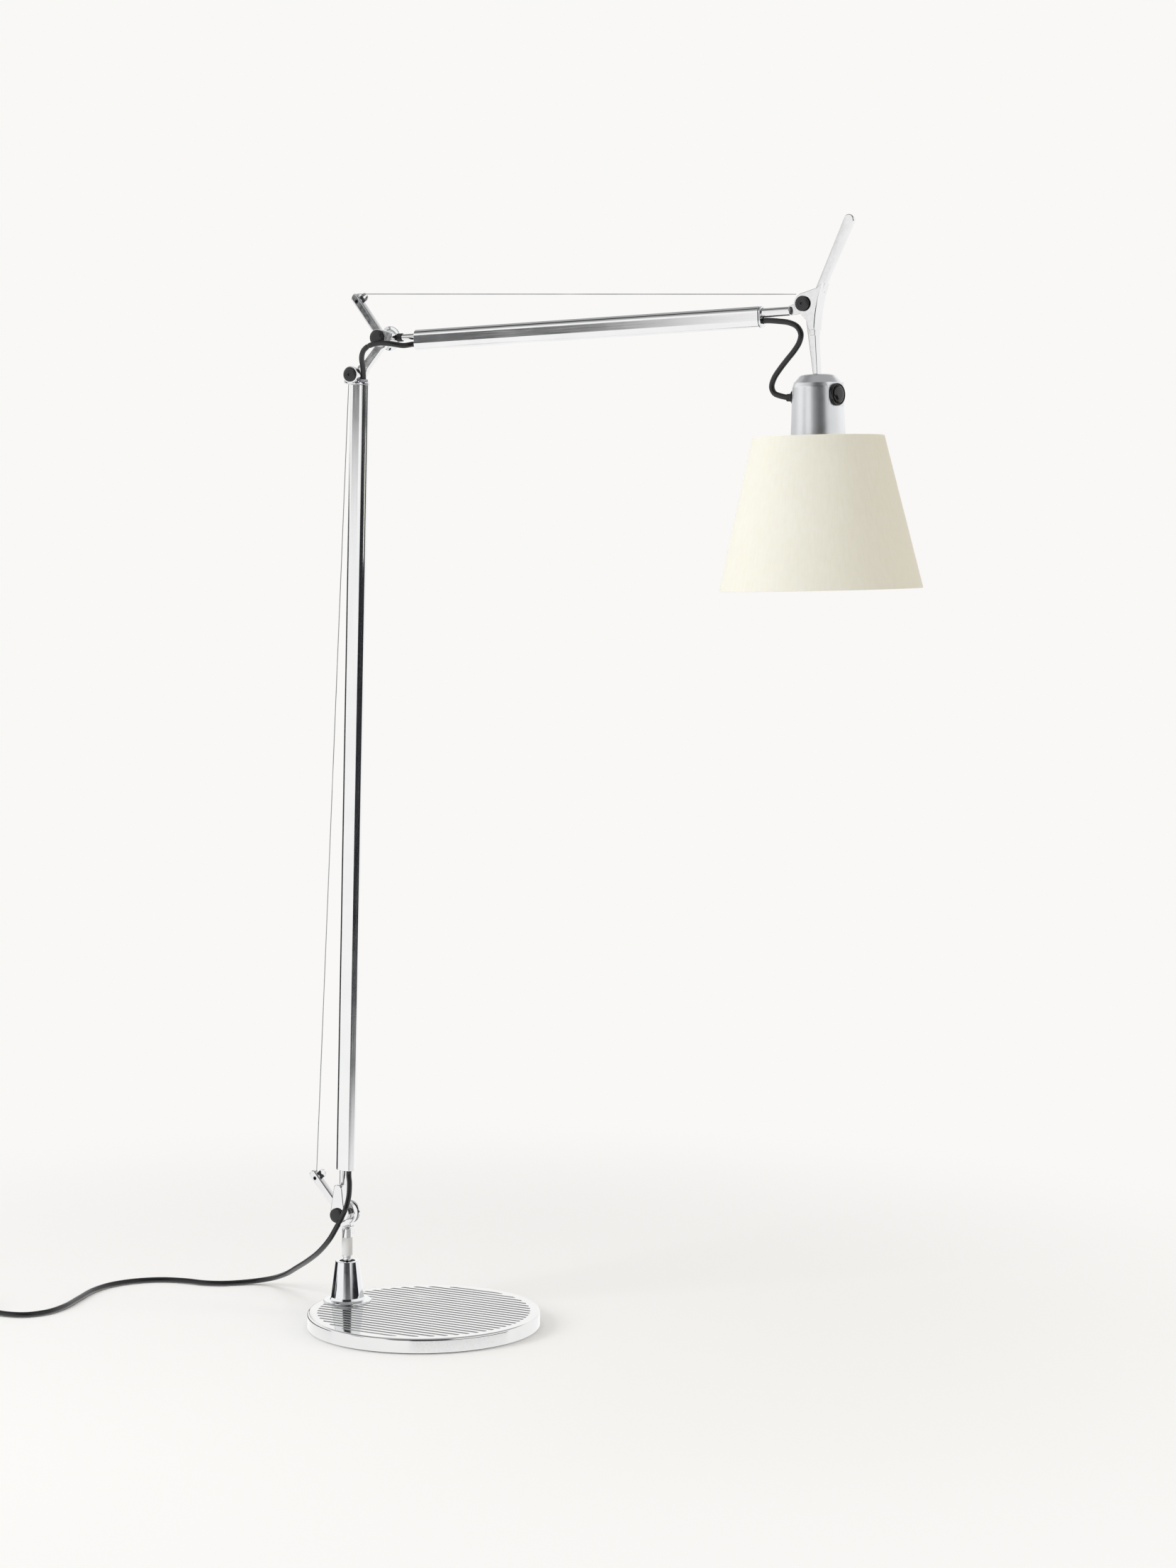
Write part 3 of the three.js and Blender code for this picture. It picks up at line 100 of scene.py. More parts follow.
HINGE = (-94.4, 103.6)
ELBOW_LOWER = at(HINGE, LEAN, -2.5, 834)
ELBOW_UPPER = at(ELBOW_LOWER, 42, 0, LINK_LENGTH)
HEAD_PIN = at(ELBOW_UPPER, RISE, UPPER_LENGTH, PIN_LIFT)
WORLD = Matrix.Identity(4)
STEM_AXIS = Matrix.Translation((STEM_X, 0, 0))
ALONG_Y = Matrix.Rotation(math.pi / 2, 4, "X")
LOWER = turned_frame(HINGE, LEAN)
UPPER = turned_frame(ELBOW_UPPER, RISE)
HEAD = turned_frame(HEAD_PIN, HEAD_TILT)
HOUSING = HEAD @ Matrix.Translation((HEAD_SHIFT, 0, 0))
SWITCH_SPIN = Matrix.Rotation(math.radians(SWITCH_TURN), 4, "Z")
SWITCH = HOUSING @ SWITCH_SPIN

# ------------------------------------------------------------------ camera
camera_data = bpy.data.cameras.new("camera")
camera_data.sensor_fit = "AUTO"
camera_data.sensor_width = 36
camera_data.lens = 77.8
camera = bpy.data.objects.new("camera", camera_data)
bpy.context.scene.collection.objects.link(camera)
camera.location = (1.75173, -2.80335, 0.80596)
aim = Vector((-0.48599, 0.87023, -0.08069))
camera.rotation_euler = aim.to_track_quat("-Z", "Y").to_euler()
bpy.context.scene.camera = camera


# ------------------------------------------------------------------ mesh helpers
def new_object(bm, name="work"):
    bmesh.ops.recalc_face_normals(bm, faces=bm.faces)
    mesh = bpy.data.meshes.new(name)
    bm.to_mesh(mesh)
    bm.free()
    obj = bpy.data.objects.new(name, mesh)
    bpy.context.scene.collection.objects.link(obj)
    return obj


def filleted(points, closed=True, steps=4):
    """Rounds each corner (a, b, radius) of a flat outline."""
    out = []
    count = len(points)
    for i, point in enumerate(points):
        here = Vector(point[:2])
        radius = point[2] if len(point) > 2 else 0
        if radius <= 0 or (not closed and i in (0, count - 1)):
            out.append(here)
            continue
        before = Vector(points[i - 1][:2]) - here
        after = Vector(points[(i + 1) % count][:2]) - here
        angle = before.angle(after)
        if angle > math.pi - 0.02:
            out.append(here)
            continue
        reach = min(radius / math.tan(angle / 2), before.length * 0.49, after.length * 0.49)
        start = here + before.normalized() * reach
        end = here + after.normalized() * reach
        for k in range(steps + 1):
            t = k / steps
            out.append(start * (1 - t) ** 2 + here * 2 * t * (1 - t) + end * t * t)
    return out


def lathe(profile, segments=64, steps=4):
    """A closed profile of (radius, z, corner radius) turned about Z."""
    points = filleted(profile, steps=steps)
    bm = bmesh.new()
    rings = []
    for r, z in points:
        if r < 1e-6:
            rings.append([bm.verts.new((0, 0, z))])
            continue
        turn = [2 * math.pi * i / segments for i in range(segments)]
        rings.append([bm.verts.new((r * math.cos(t), r * math.sin(t), z)) for t in turn])
    for i, ring in enumerate(rings):
        other = rings[(i + 1) % len(rings)]
        if len(ring) == 1 and len(other) == 1:
            continue
        for k in range(segments):
            n = (k + 1) % segments
            if len(ring) == 1:
                bm.faces.new((ring[0], other[k], other[n]))
            elif len(other) == 1:
                bm.faces.new((ring[k], ring[n], other[0]))
            else:
                bm.faces.new((ring[k], ring[n], other[n], other[k]))
    bmesh.ops.remove_doubles(bm, verts=bm.verts, dist=1e-5)
    return new_object(bm)


def prism(points, low, high, bevel=0.6, steps=3, axis="Y"):
    """A flat outline in X and Z given thickness along Y (or in X and Y along Z), edges rounded."""
    bm = bmesh.new()
    lift = (lambda a, b, c: (a, c, b)) if axis == "Y" else (lambda a, b, c: (a, b, c))
    lower = [bm.verts.new(lift(p[0], p[1], low)) for p in points]
    upper = [bm.verts.new(lift(p[0], p[1], high)) for p in points]
    rims = [bm.faces.new(lower), bm.faces.new(upper)]
    count = len(points)
    for i in range(count):
        n = (i + 1) % count
        bm.faces.new((lower[i], lower[n], upper[n], upper[i]))
    bmesh.ops.recalc_face_normals(bm, faces=bm.faces)
    if bevel > 0:
        edges = list({edge for rim in rims for edge in rim.edges})
        bmesh.ops.bevel(bm, geom=edges, offset=bevel, segments=steps, profile=0.5, affect="EDGES")
    return new_object(bm)


def block(xs, ys, zs, bevel=0.5, steps=2):
    bm = bmesh.new()
    bmesh.ops.create_cube(bm, size=1)
    size = Vector((xs[1] - xs[0], ys[1] - ys[0], zs[1] - zs[0]))
    middle = Vector((sum(xs) / 2, sum(ys) / 2, sum(zs) / 2))
    for v in bm.verts:
        v.co = Vector(a * b for a, b in zip(v.co, size)) + middle
    if bevel > 0:
        bmesh.ops.bevel(bm, geom=list(bm.edges), offset=bevel, segments=steps, profile=0.5, affect="EDGES")
    return new_object(bm)


def arc(cx, cz, r, start, end, steps=24):
    turn = [math.radians(start + (end - start) * i / steps) for i in range(steps + 1)]
    return [(cx + r * math.cos(t), cz + r * math.sin(t)) for t in turn]


def strap(r0, r1, length, ys, bevel=0.7):
    """A bar with round ends, r0 round (0, 0) and r1 round (0, length)."""
    slope = math.degrees(math.asin((r0 - r1) / length))
    outline = arc(0, 0, r0, 180 - slope, 360 + slope, 32) + arc(0, length, r1, slope, 180 - slope, 32)
    return prism(outline, *ys, bevel=bevel)


def bar(radius, low, high, axis="Z", centre=(0, 0), segments=48, round_ends=0.3):
    """A round bar along an axis; centre is its place on the other two axes, in X, Y, Z order."""
    obj = lathe([(0, low), (radius, low, round_ends), (radius, high, round_ends), (0, high)], segments, 2)
    turn = {"Z": Matrix.Identity(4), "Y": Matrix.Rotation(-math.pi / 2, 4, "X"),
            "X": Matrix.Rotation(math.pi / 2, 4, "Y")}[axis]
    shift = {"Z": (centre[0], centre[1], 0), "Y": (centre[0], 0, centre[1]), "X": (0, *centre)}[axis]
    return moved(obj, Matrix.Translation(shift) @ turn)


def slot_section(offset, centre, steps=30):
    """The arm tube's section: long in X, flat on its broad sides and round at both ends."""
    r = TUBE_DEPTH / 2 + offset
    left, right = centre - SPREAD, centre + SPREAD
    return (arc(right, 0, r, -90, 90, steps) + [(right - 0.2, r), (left + 0.2, r)]
            + arc(left, 0, r, 90, 270, steps) + [(left + 0.2, -r), (right - 0.2, -r)])


def slot_bar(offset, centre, low, high, bevel=0.0):
    return prism(slot_section(offset, centre), low, high, bevel, 2, axis="Z")


def moved(obj, matrix):
    obj.data.transform(matrix)
    if matrix.determinant() < 0:
        obj.data.flip_normals()
    return obj


def applied(obj):
    """Replaces the mesh by what the modifiers make of it, and leaves none."""
    bpy.context.view_layer.update()
    graph = bpy.context.evaluated_depsgraph_get()
    mesh = bpy.data.meshes.new_from_object(obj.evaluated_get(graph))
    obj.modifiers.clear()
    obj.data = mesh
    return obj


def combined(first, others, operation):
    for other in others:
        modifier = first.modifiers.new("join", "BOOLEAN")
        modifier.operation = operation
        modifier.object = other
        modifier.solver = "EXACT"
    applied(first)
    for other in others:
        bpy.data.objects.remove(other)
    return first


def union(first, *others):
    return combined(first, others, "UNION")


def cut(first, *others):
    return combined(first, others, "DIFFERENCE")


def pin_hole():
    return bar(HOLE, -20, 20, "Y", round_ends=0)


def sweep(points, radius, sides=20, step=2.0, ends=0.6):
    """A round cord through the points, with its centreline; both are in millimetres."""
    line = smooth_line(points, step)
    bm = bmesh.new()
    tangent = (line[1] - line[0]).normalized()
    side = tangent.orthogonal().normalized()
    rings = []
    count = len(line)
    for i, point in enumerate(line):
        ahead = line[min(i + 1, count - 1)] - line[max(i - 1, 0)]
        new_tangent = ahead.normalized()
        side = (tangent.rotation_difference(new_tangent) @ side).normalized()
        tangent = new_tangent
        other = tangent.cross(side)
        r = radius - ends if i in (0, count - 1) else radius
        turn = [2 * math.pi * k / sides for k in range(sides)]
        rings.append([bm.verts.new(point + side * r * math.cos(t) + other * r * math.sin(t)) for t in turn])
    for ring, after in zip(rings, rings[1:]):
        for k in range(sides):
            n = (k + 1) % sides
            bm.faces.new((ring[k], ring[n], after[n], after[k]))
    bm.faces.new(rings[0])
    bm.faces.new(rings[-1])
    return new_object(bm), line


def smooth_line(points, step):
    """Centripetal Catmull-Rom through the points, as points about step apart."""
    pts = [Vector(p) for p in points]
    pts = [pts[0] * 2 - pts[1], *pts, pts[-1] * 2 - pts[-2]]
    out = []
    for i in range(1, len(pts) - 2):
        p = pts[i - 1:i + 3]
        t = [0.0]
        for a, b in zip(p, p[1:]):
            t.append(t[-1] + max((b - a).length, 1e-6) ** 0.5)
        count = max(2, round((p[2] - p[1]).length / step))
        for k in range(count):
            u = t[1] + (t[2] - t[1]) * k / count
            a = [p[j] * (t[j + 1] - u) / (t[j + 1] - t[j]) + p[j + 1] * (u - t[j]) / (t[j + 1] - t[j])
                 for j in range(3)]
            b = [a[j] * (t[j + 2] - u) / (t[j + 2] - t[j]) + a[j + 1] * (u - t[j]) / (t[j + 2] - t[j])
                 for j in range(2)]
            out.append(b[0] * (t[2] - u) / (t[2] - t[1]) + b[1] * (u - t[1]) / (t[2] - t[1]))
    out.append(pts[-2])
    return out


# ------------------------------------------------------------------ materials
def material(name, **sockets):
    mat = bpy.data.materials.new(name)
    mat.use_nodes = True
    shader = mat.node_tree.nodes["Principled BSDF"]
    for key, value in sockets.items():
        shader.inputs[key.replace("_", " ")].default_value = value
    return mat, mat.node_tree, shader


def node(tree, kind, **values):
    made = tree.nodes.new(kind)
    for key, value in values.items():
        if hasattr(made, key):
            setattr(made, key, value)
        else:
            made.inputs[key.replace("_", " ")].default_value = value
    return made


def noise(tree, scale, stretch=(1, 1, 1), turn=(0, 0, 0), detail=4.0, coordinates=None):
    """Object-space noise, squeezed by stretch after a turn about Y so that streaks can run along a part."""
    source = coordinates or node(tree, "ShaderNodeTexCoord").outputs["Object"]
    mapping = node(tree, "ShaderNodeMapping", vector_type="TEXTURE")
    mapping.inputs["Rotation"].default_value = [math.radians(a) for a in turn]
    mapping.inputs["Scale"].default_value = [1 / s for s in stretch]
    tree.links.new(source, mapping.inputs["Vector"])
    texture = node(tree, "ShaderNodeTexNoise", Scale=scale, Detail=detail, Roughness=0.55)
    tree.links.new(mapping.outputs["Vector"], texture.inputs["Vector"])
    return texture.outputs["Fac"]


def spread(tree, value, low, high):
    remap = node(tree, "ShaderNodeMapRange", From_Min=0.3, From_Max=0.7, To_Min=low, To_Max=high)
    tree.links.new(value, remap.inputs["Value"])
    return remap.outputs["Result"]


def tinted(tree, shader, value, dark, light):
    ramp = node(tree, "ShaderNodeValToRGB")
    ramp.color_ramp.elements[0].position = 0.3
    ramp.color_ramp.elements[1].position = 0.7
    ramp.color_ramp.elements[0].color = (*dark, 1)
    ramp.color_ramp.elements[1].color = (*light, 1)
    tree.links.new(value, ramp.inputs["Fac"])
    tree.links.new(ramp.outputs["Color"], shader.inputs["Base Color"])


def bumped(tree, shader, value, distance, strength=1.0):
    bump = node(tree, "ShaderNodeBump", Strength=strength, Distance=distance)
    tree.links.new(value, bump.inputs["Height"])
    tree.links.new(bump.outputs["Normal"], shader.inputs["Normal"])


def metal(name, dark, light, rough, streaks, scale=60, turn=(0, 0, 0), distance=4e-6):
    """Bare or plated metal: streaks along its grain, cloudy handling marks, and a grain in the bump."""
    mat, tree, shader = material(name, Metallic=1.0)
    grain = noise(tree, scale, streaks, turn, 6)
    cloud = noise(tree, 22, detail=3)
    tinted(tree, shader, cloud, dark, light)
    mix = node(tree, "ShaderNodeMath", operation="ADD")
    tree.links.new(spread(tree, grain, 0, rough[1] - rough[0]), mix.inputs[0])
    tree.links.new(spread(tree, cloud, rough[0], rough[0] + (rough[1] - rough[0]) * 0.5), mix.inputs[1])
    tree.links.new(mix.outputs[0], shader.inputs["Roughness"])
    bumped(tree, shader, grain, distance)
    return mat


def dull(name, dark, light, rough, scale=900, distance=2e-5, **sockets):
    """Plastic, rubber, film or glaze: a moulded grain and a slow change of colour."""
    mat, tree, shader = material(name, **sockets)
    grain = noise(tree, scale, detail=5)
    cloud = noise(tree, 35, detail=3)
    tinted(tree, shader, cloud, dark, light)
    tree.links.new(spread(tree, cloud, *rough), shader.inputs["Roughness"])
    bumped(tree, shader, grain, distance)
    return mat


def parchment_material(name, dark, light, distance):
    """Paper-like shade: fibres that run from rim to rim, with darker flecks."""
    mat, tree, shader = material(name, Subsurface_Weight=0.15, Subsurface_Scale=0.003, IOR=1.42,
                                 Specular_IOR_Level=0.25)
    shader.inputs["Subsurface Radius"].default_value = (1.0, 0.85, 0.55)
    centre = HOUSING @ Vector((0, 0, -190))
    source = node(tree, "ShaderNodeTexCoord")
    shift = node(tree, "ShaderNodeVectorMath", operation="SUBTRACT")
    shift.inputs[1].default_value = (centre.x / 1000, 0, 0)
    flat = node(tree, "ShaderNodeVectorMath", operation="MULTIPLY")
    flat.inputs[1].default_value = (1, 1, 0)
    unit = node(tree, "ShaderNodeVectorMath", operation="NORMALIZE")
    tall = node(tree, "ShaderNodeVectorMath", operation="MULTIPLY")
    tall.inputs[1].default_value = (0, 0, 0.9)
    whole = node(tree, "ShaderNodeVectorMath", operation="ADD")
    tree.links.new(source.outputs["Object"], shift.inputs[0])
    tree.links.new(shift.outputs[0], flat.inputs[0])
    tree.links.new(flat.outputs[0], unit.inputs[0])
    tree.links.new(shift.outputs[0], tall.inputs[0])
    tree.links.new(unit.outputs[0], whole.inputs[0])
    tree.links.new(tall.outputs[0], whole.inputs[1])
    fibre = noise(tree, 70, detail=8, coordinates=whole.outputs[0])
    fleck = noise(tree, 260, (1, 1, 0.35), detail=6)
    cloud = noise(tree, 9, detail=3)
    both = node(tree, "ShaderNodeMath", operation="ADD")
    blend = node(tree, "ShaderNodeMath", operation="MULTIPLY_ADD")
    tree.links.new(fleck, both.inputs[0])
    tree.links.new(fibre, both.inputs[1])
    tree.links.new(both.outputs[0], blend.inputs[0])
    blend.inputs[1].default_value = 0.34
    tree.links.new(spread(tree, cloud, 0.1, 0.22), blend.inputs[2])
    tinted(tree, shader, blend.outputs[0], dark, light)
    tree.links.new(spread(tree, fleck, 0.5, 0.68), shader.inputs["Roughness"])
    bumped(tree, shader, both.outputs[0], distance)
    return mat


ALONG_X, ALONG_Z, RINGS = (0.02, 1, 1), (1, 1, 0.02), (0.03, 0.03, 1)
LOOKS = {
    "chrome": metal("chrome_mirror", (0.74, 0.75, 0.765), (0.80, 0.81, 0.82), (0.03, 0.06), (1, 1, 1), 90,
                    distance=1e-6),
    "base": metal("base_polished_plate", (0.74, 0.74, 0.74), (0.78, 0.78, 0.775), (0.07, 0.11), ALONG_X, 700,
                  distance=2e-6),
    "groove": metal("base_groove_satin", (0.68, 0.68, 0.685), (0.75, 0.75, 0.75), (0.36, 0.48), ALONG_X, 900,
                    distance=8e-6),
    "lower_tube": metal("lower_tube_drawn", (0.78, 0.78, 0.785), (0.83, 0.83, 0.83), (0.06, 0.12), ALONG_Z,
                        900,
                        (0, LEAN, 0), 2e-6),
    "upper_tube": metal("upper_tube_drawn", (0.78, 0.78, 0.785), (0.83, 0.83, 0.83), (0.06, 0.12), ALONG_X,
                        900,
                        (0, RISE, 0), 2e-6),
    "bright": metal("bright_polished_aluminium", (0.74, 0.74, 0.745), (0.80, 0.80, 0.80), (0.08, 0.15),
                    (1, 1, 1), 260,
                    distance=5e-7),
    "stem": metal("stem_turned_aluminium", (0.76, 0.76, 0.765), (0.82, 0.82, 0.82), (0.08, 0.16), RINGS, 1500,
                  distance=2e-6),
    "satin": metal("satin_spun_aluminium", (0.75, 0.76, 0.78), (0.80, 0.81, 0.825), (0.28, 0.36), RINGS, 2200,
                   (0, HEAD_TILT, 0), 1e-6),
    "steel": metal("plain_steel", (0.42, 0.43, 0.44), (0.56, 0.56, 0.57), (0.2, 0.36), ALONG_X, 500),
    "wire": metal("wire_steel", (0.34, 0.345, 0.35), (0.5, 0.5, 0.51), (0.25, 0.4), (1, 1, 1), 900),
    "black_steel": metal("blackened_steel", (0.02, 0.02, 0.022), (0.05, 0.05, 0.055), (0.3, 0.45), (1, 1, 1),
                         500),
    "cap": dull("cap_black_plastic", (0.010, 0.010, 0.011), (0.017, 0.017, 0.018), (0.24, 0.36), 1400, 8e-6),
    "switch": dull("switch_black_gloss", (0.005, 0.005, 0.006), (0.010, 0.010, 0.011), (0.1, 0.2), 900, 4e-6),
    "rubber": dull("matte_rubber", (0.008, 0.008, 0.008), (0.02, 0.02, 0.02), (0.5, 0.65), 1800, 2e-5),
    "sheath": dull("lead_sheath", (0.005, 0.005, 0.006), (0.012, 0.012, 0.013), (0.24, 0.36), 700, 1e-5),
    "tie": dull("tie_black_film", (0.012, 0.012, 0.013), (0.03, 0.03, 0.032), (0.35, 0.5), 600, 1e-5),
    "clear": dull("pale_ferrule", (0.55, 0.54, 0.66), (0.68, 0.67, 0.78), (0.2, 0.3), 500, 4e-6,
                  Transmission_Weight=0.35, IOR=1.45),
    "label": dull("blank_label_film", (0.74, 0.74, 0.73), (0.82, 0.82, 0.81), (0.35, 0.45), 400, 4e-6),
    "ceramic": dull("glazed_ceramic", (0.66, 0.65, 0.62), (0.76, 0.75, 0.72), (0.15, 0.3), 250, 1e-5),
    "opal": dull("opal_glass", (0.84, 0.84, 0.82), (0.9, 0.9, 0.885), (0.08, 0.16), 120, 4e-6,
                 Subsurface_Weight=0.4, Subsurface_Scale=0.01),
    "shade": parchment_material("shade_parchment", (0.772, 0.748, 0.64), (0.838, 0.822, 0.738), 3e-5),
}


def place(obj, name, matrix, body, look, slot_name, *nodes, angle=32):
    """Puts a finished millimetre piece in the frame, in metres, on its body."""
    scaled = Matrix.Scale(0.001, 4) @ matrix
    moved(obj, scaled)
    obj.name = name
    obj.data.name = name
    obj.data.materials.clear()
    obj.data.materials.append(LOOKS[look])
    obj.data.polygons.foreach_set("use_smooth", [True] * len(obj.data.polygons))
    obj.data.set_sharp_from_angle(angle=math.radians(angle))
    weighted = obj.modifiers.new("flat faces stay flat", "WEIGHTED_NORMAL")
    weighted.keep_sharp = True
    applied(obj)
    obj.data.name = name
    if body:
        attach(obj, body)
    if nodes:
        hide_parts(*nodes)
    return obj


def world(matrix, x, y, z):
    return matrix @ Vector((x, y, z))


def lead(name, points, nodes, reach, look="sheath"):
    obj, line = sweep(points, LEAD if reach > 0.3 else LEAD - 0.05)
    place(obj, name, WORLD, None, look, "lead_sheath", *nodes)
    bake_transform(obj)
    return obj


def coil_points():
    """The spare length: down on the floor, two turns wide and three high, then out to the plug."""
    outer, inner, layers = 33.9, 28.1, (2.8, 8.2, 13.6)
    over = 19.1
    keys = [  # turn in degrees, radius, height
        (54, 40.6, layers[0]), (100, outer, layers[0]), (375, outer, layers[0]),
        (420, inner, layers[0]), (735, inner, layers[0]), (780, inner, layers[1]),
        (1095, inner, layers[1]), (1140, outer, layers[1]), (1455, outer, layers[1]),
        (1500, outer, layers[2]), (1545, inner, layers[2]), (1790, inner, layers[2]),
        (1845, inner, over), (1895, outer, over), (1925, outer, layers[2] + 1.5),
    ]
    points = []
    for (a0, r0, z0), (a1, r1, z1) in zip(keys, keys[1:]):
        count = max(2, round((a1 - a0) / 15))
        for i in range(count):
            t = i / count
            eased = t * t * (3 - 2 * t)
            a = math.radians(a0 + (a1 - a0) * t)
            r = r0 + (r1 - r0) * eased
            points.append((COIL_CENTRE[0] + r * math.cos(a), COIL_CENTRE[1] + r * math.sin(a),
                           z0 + (z1 - z0) * eased))
    points += [(-489.5, -179.5, 14.8), (-495.5, -188.5, 13.4), (-500.2, -199.5, 11.2),
               (-500.2, -210.5, 8.8), (-496.5, -219.5, 7.3), (-493.6, -226.5, 7.0), (-493, -233, 7.0)]
    return points


MAINS = [
    (-83.6, -5, 136.4), (-80.1, -12, 123.6), (-80.8, -17, 112.3), (-88.6, -17.2, 97.3),
    (-102.4, -12, 79.6), (-123.5, 0, 61.8), (-148.8, 18, 46.6), (-177.1, 40, 32),
    (-205, 60, 18), (-228, 70, 9), (-247, 69, 4.2), (-262, 58, 2.8), (-276, 46, 2.8),
    (-293, 39, 2.8), (-316, 37, 2.8), (-341, 29, 2.8), (-361, 11, 2.8), (-373, -14, 2.8),
    (-374, -44, 2.8), (-365, -80, 2.8), (-356, -116, 2.8), (-356, -144, 2.8),
    (-367, -163, 2.8), (-386, -170, 2.8), (-410, -168, 2.8), 
]
SPLIT = 3
tube_foot = [world(LOWER, LEAD_SIDE, 0, LOWER_START + 2), world(LOWER, LEAD_SIDE, 0, LOWER_START - 6)]
upper_part = [*tube_foot, *MAINS[:SPLIT + 1]]
lead("mains_lead_top", upper_part, (),
     0.1)

# ---- plug: moulded body, ribbed strain relief and two pins
PLUG_X, PLUG_Y, PLUG_Z = -493.0, -225.0, 7.0
body_outline = filleted([(-4.4, -14, 3), (-17.2, -24, 5), (-17.4, -36, 1.5), (17.4, -36, 1.5),
                         (17.2, -24, 5), (4.4, -14, 3)], steps=6)
plug_body = prism(body_outline, 0.2, 13.8, 2.6, 4, axis="Z")
sleeve = lathe([(LEAD + 0.1, 0), (3.5, 0, 0.3), (4.6, 15, 0.3), (LEAD + 0.1, 15)], 40)
ribs = [moved(lathe([(LEAD + 0.2, 0), (3.9 + 0.18 * i, 0, 0.3), (3.9 + 0.18 * i, 1.3, 0.3),
                     (LEAD + 0.2, 1.3)], 40),
              Matrix.Translation((0, 0, 1.6 + 2.4 * i))) for i in range(5)]
relief = moved(union(sleeve, *ribs), Matrix.Translation((0, 0, 7)) @ ALONG_Y)
plug = place(union(plug_body, relief), "plug_body", Matrix.Translation((PLUG_X, PLUG_Y, 0)), "base",
             "cap", "black_plastic", "mains_plug")
for i, px in enumerate((-9.5, 9.5)):
    pin = lathe([(0, 0), (2, 0), (2, 19.5, 1.2), (0, 19.5)], 32)
    pin = place(moved(pin, ALONG_Y), f"plug_pin_{i + 1}",
                Matrix.Translation((PLUG_X + px, PLUG_Y - 35.5, PLUG_Z)), "base", "steel", "steel")
free = [*MAINS[SPLIT:], *coil_points()]
lead("mains_lead_free", free, ("mains_lead", "mains_coil"),
     1.8)

# ---- a twist tie round the coil, its two ends twisted together
tie = filleted([(25.0, 0.15, 2), (37.1, 0.15, 2), (37.1, 16.4, 3), (25.0, 16.4, 3)], steps=5)
inside = filleted([(25.5, 0.65, 1.6), (36.6, 0.65, 1.6), (36.6, 15.9, 2.6), (25.5, 15.9, 2.6)], steps=5)
loop = cut(prism([tuple(p) for p in tie], -1.6, 1.6, 0.15), prism([tuple(p) for p in inside], -3, 3, 0))
tails = [moved(block((-0.28, 0.28), (-1.5, 1.5), (0, 17), 0.12),
               Matrix.Translation((31, 0, 16)) @ Matrix.Rotation(math.radians(lean), 4, "Y")
               @ Matrix.Rotation(math.radians(turn), 4, "Z")) for lean, turn in ((-38, 20), (41, -25))]
twist = lathe([(0, 15.6), (1.3, 15.6, 0.4), (1.5, 17.5, 0.4), (1.1, 19.5, 0.4), (0, 19.5)], 24)
tie = union(loop, moved(twist, Matrix.Translation((31, 0, 0))), *tails)
tie = place(tie, "coil_tie_twisted", Matrix.Translation((*COIL_CENTRE, 0))
            @ Matrix.Rotation(math.radians(TIE_ANGLE), 4, "Z"),
            "base", "tie", "lead_sheath")

# ---- lead round the elbow
ELBOW_ROUTE = [(-62.6, -5, 944.8), (-59.4, -12, 953.5), (-54.4, -16.2, 960.1), (-48, -17.9, 964.2),
               (-38.3, -18, 966.4), (-26, -16.6, 966.2), (-19.6, -14.4, 965.2), (-13.6, -8.4, 964.2)]
rear = [world(LOWER, LEAD_SIDE, 0, LOWER_END - 4.5), world(LOWER, LEAD_SIDE, 0, LOWER_END + 1),
        world(LOWER, LEAD_SIDE, 0, LOWER_END + 6.6), *ELBOW_ROUTE[:4]]
front = [*ELBOW_ROUTE[3:], world(UPPER, UPPER_START - 5, 0, LEAD_UP),
         world(UPPER, UPPER_START + 2.3, 0, LEAD_UP)]
lead("elbow_lead_rear", rear, (), 0.1)
lead("elbow_lead_front", front, ("elbow_lead",),
     0.1)

# ---- lead from the upper arm to the housing
HEAD_ROUTE = [(385.5, 0, 977.2), (396, 0, 975.6), (404, 0, 971.8), (407.8, 0, 965.4), (406.4, 0, 958),
              (401.4, 0, 950.4), (394.4, 0, 942.6), (386.6, 0, 933.6), (380.8, 0, 925.4),
              (378.6, 0, 918), (381, 0, 912.2), (387, 0, 909.6)]
head_points = [world(UPPER, UPPER_END + 0.4, 0, LEAD_UP), world(UPPER, UPPER_END + 7, 0, LEAD_UP),
               *HEAD_ROUTE,
               world(HEAD, -18.3, 0, GROMMET_Z), world(HEAD, -11.3, 0, GROMMET_Z)]
lead("head_lead_loop", head_points, ("head_lead",),
     0.1)

# ------------------------------------------------------------------ base
pad = lathe([(0, 0), (110, 0, 0.3), (110, BASE_BOTTOM), (0, BASE_BOTTOM)], 128)
pad_hole = bar(13, -1, 3, centre=(STEM_X, 0), round_ends=0)
place(cut(pad, pad_hole), "base_pad_rubber", WORLD, "base", "rubber", "rubber", "base_pad")

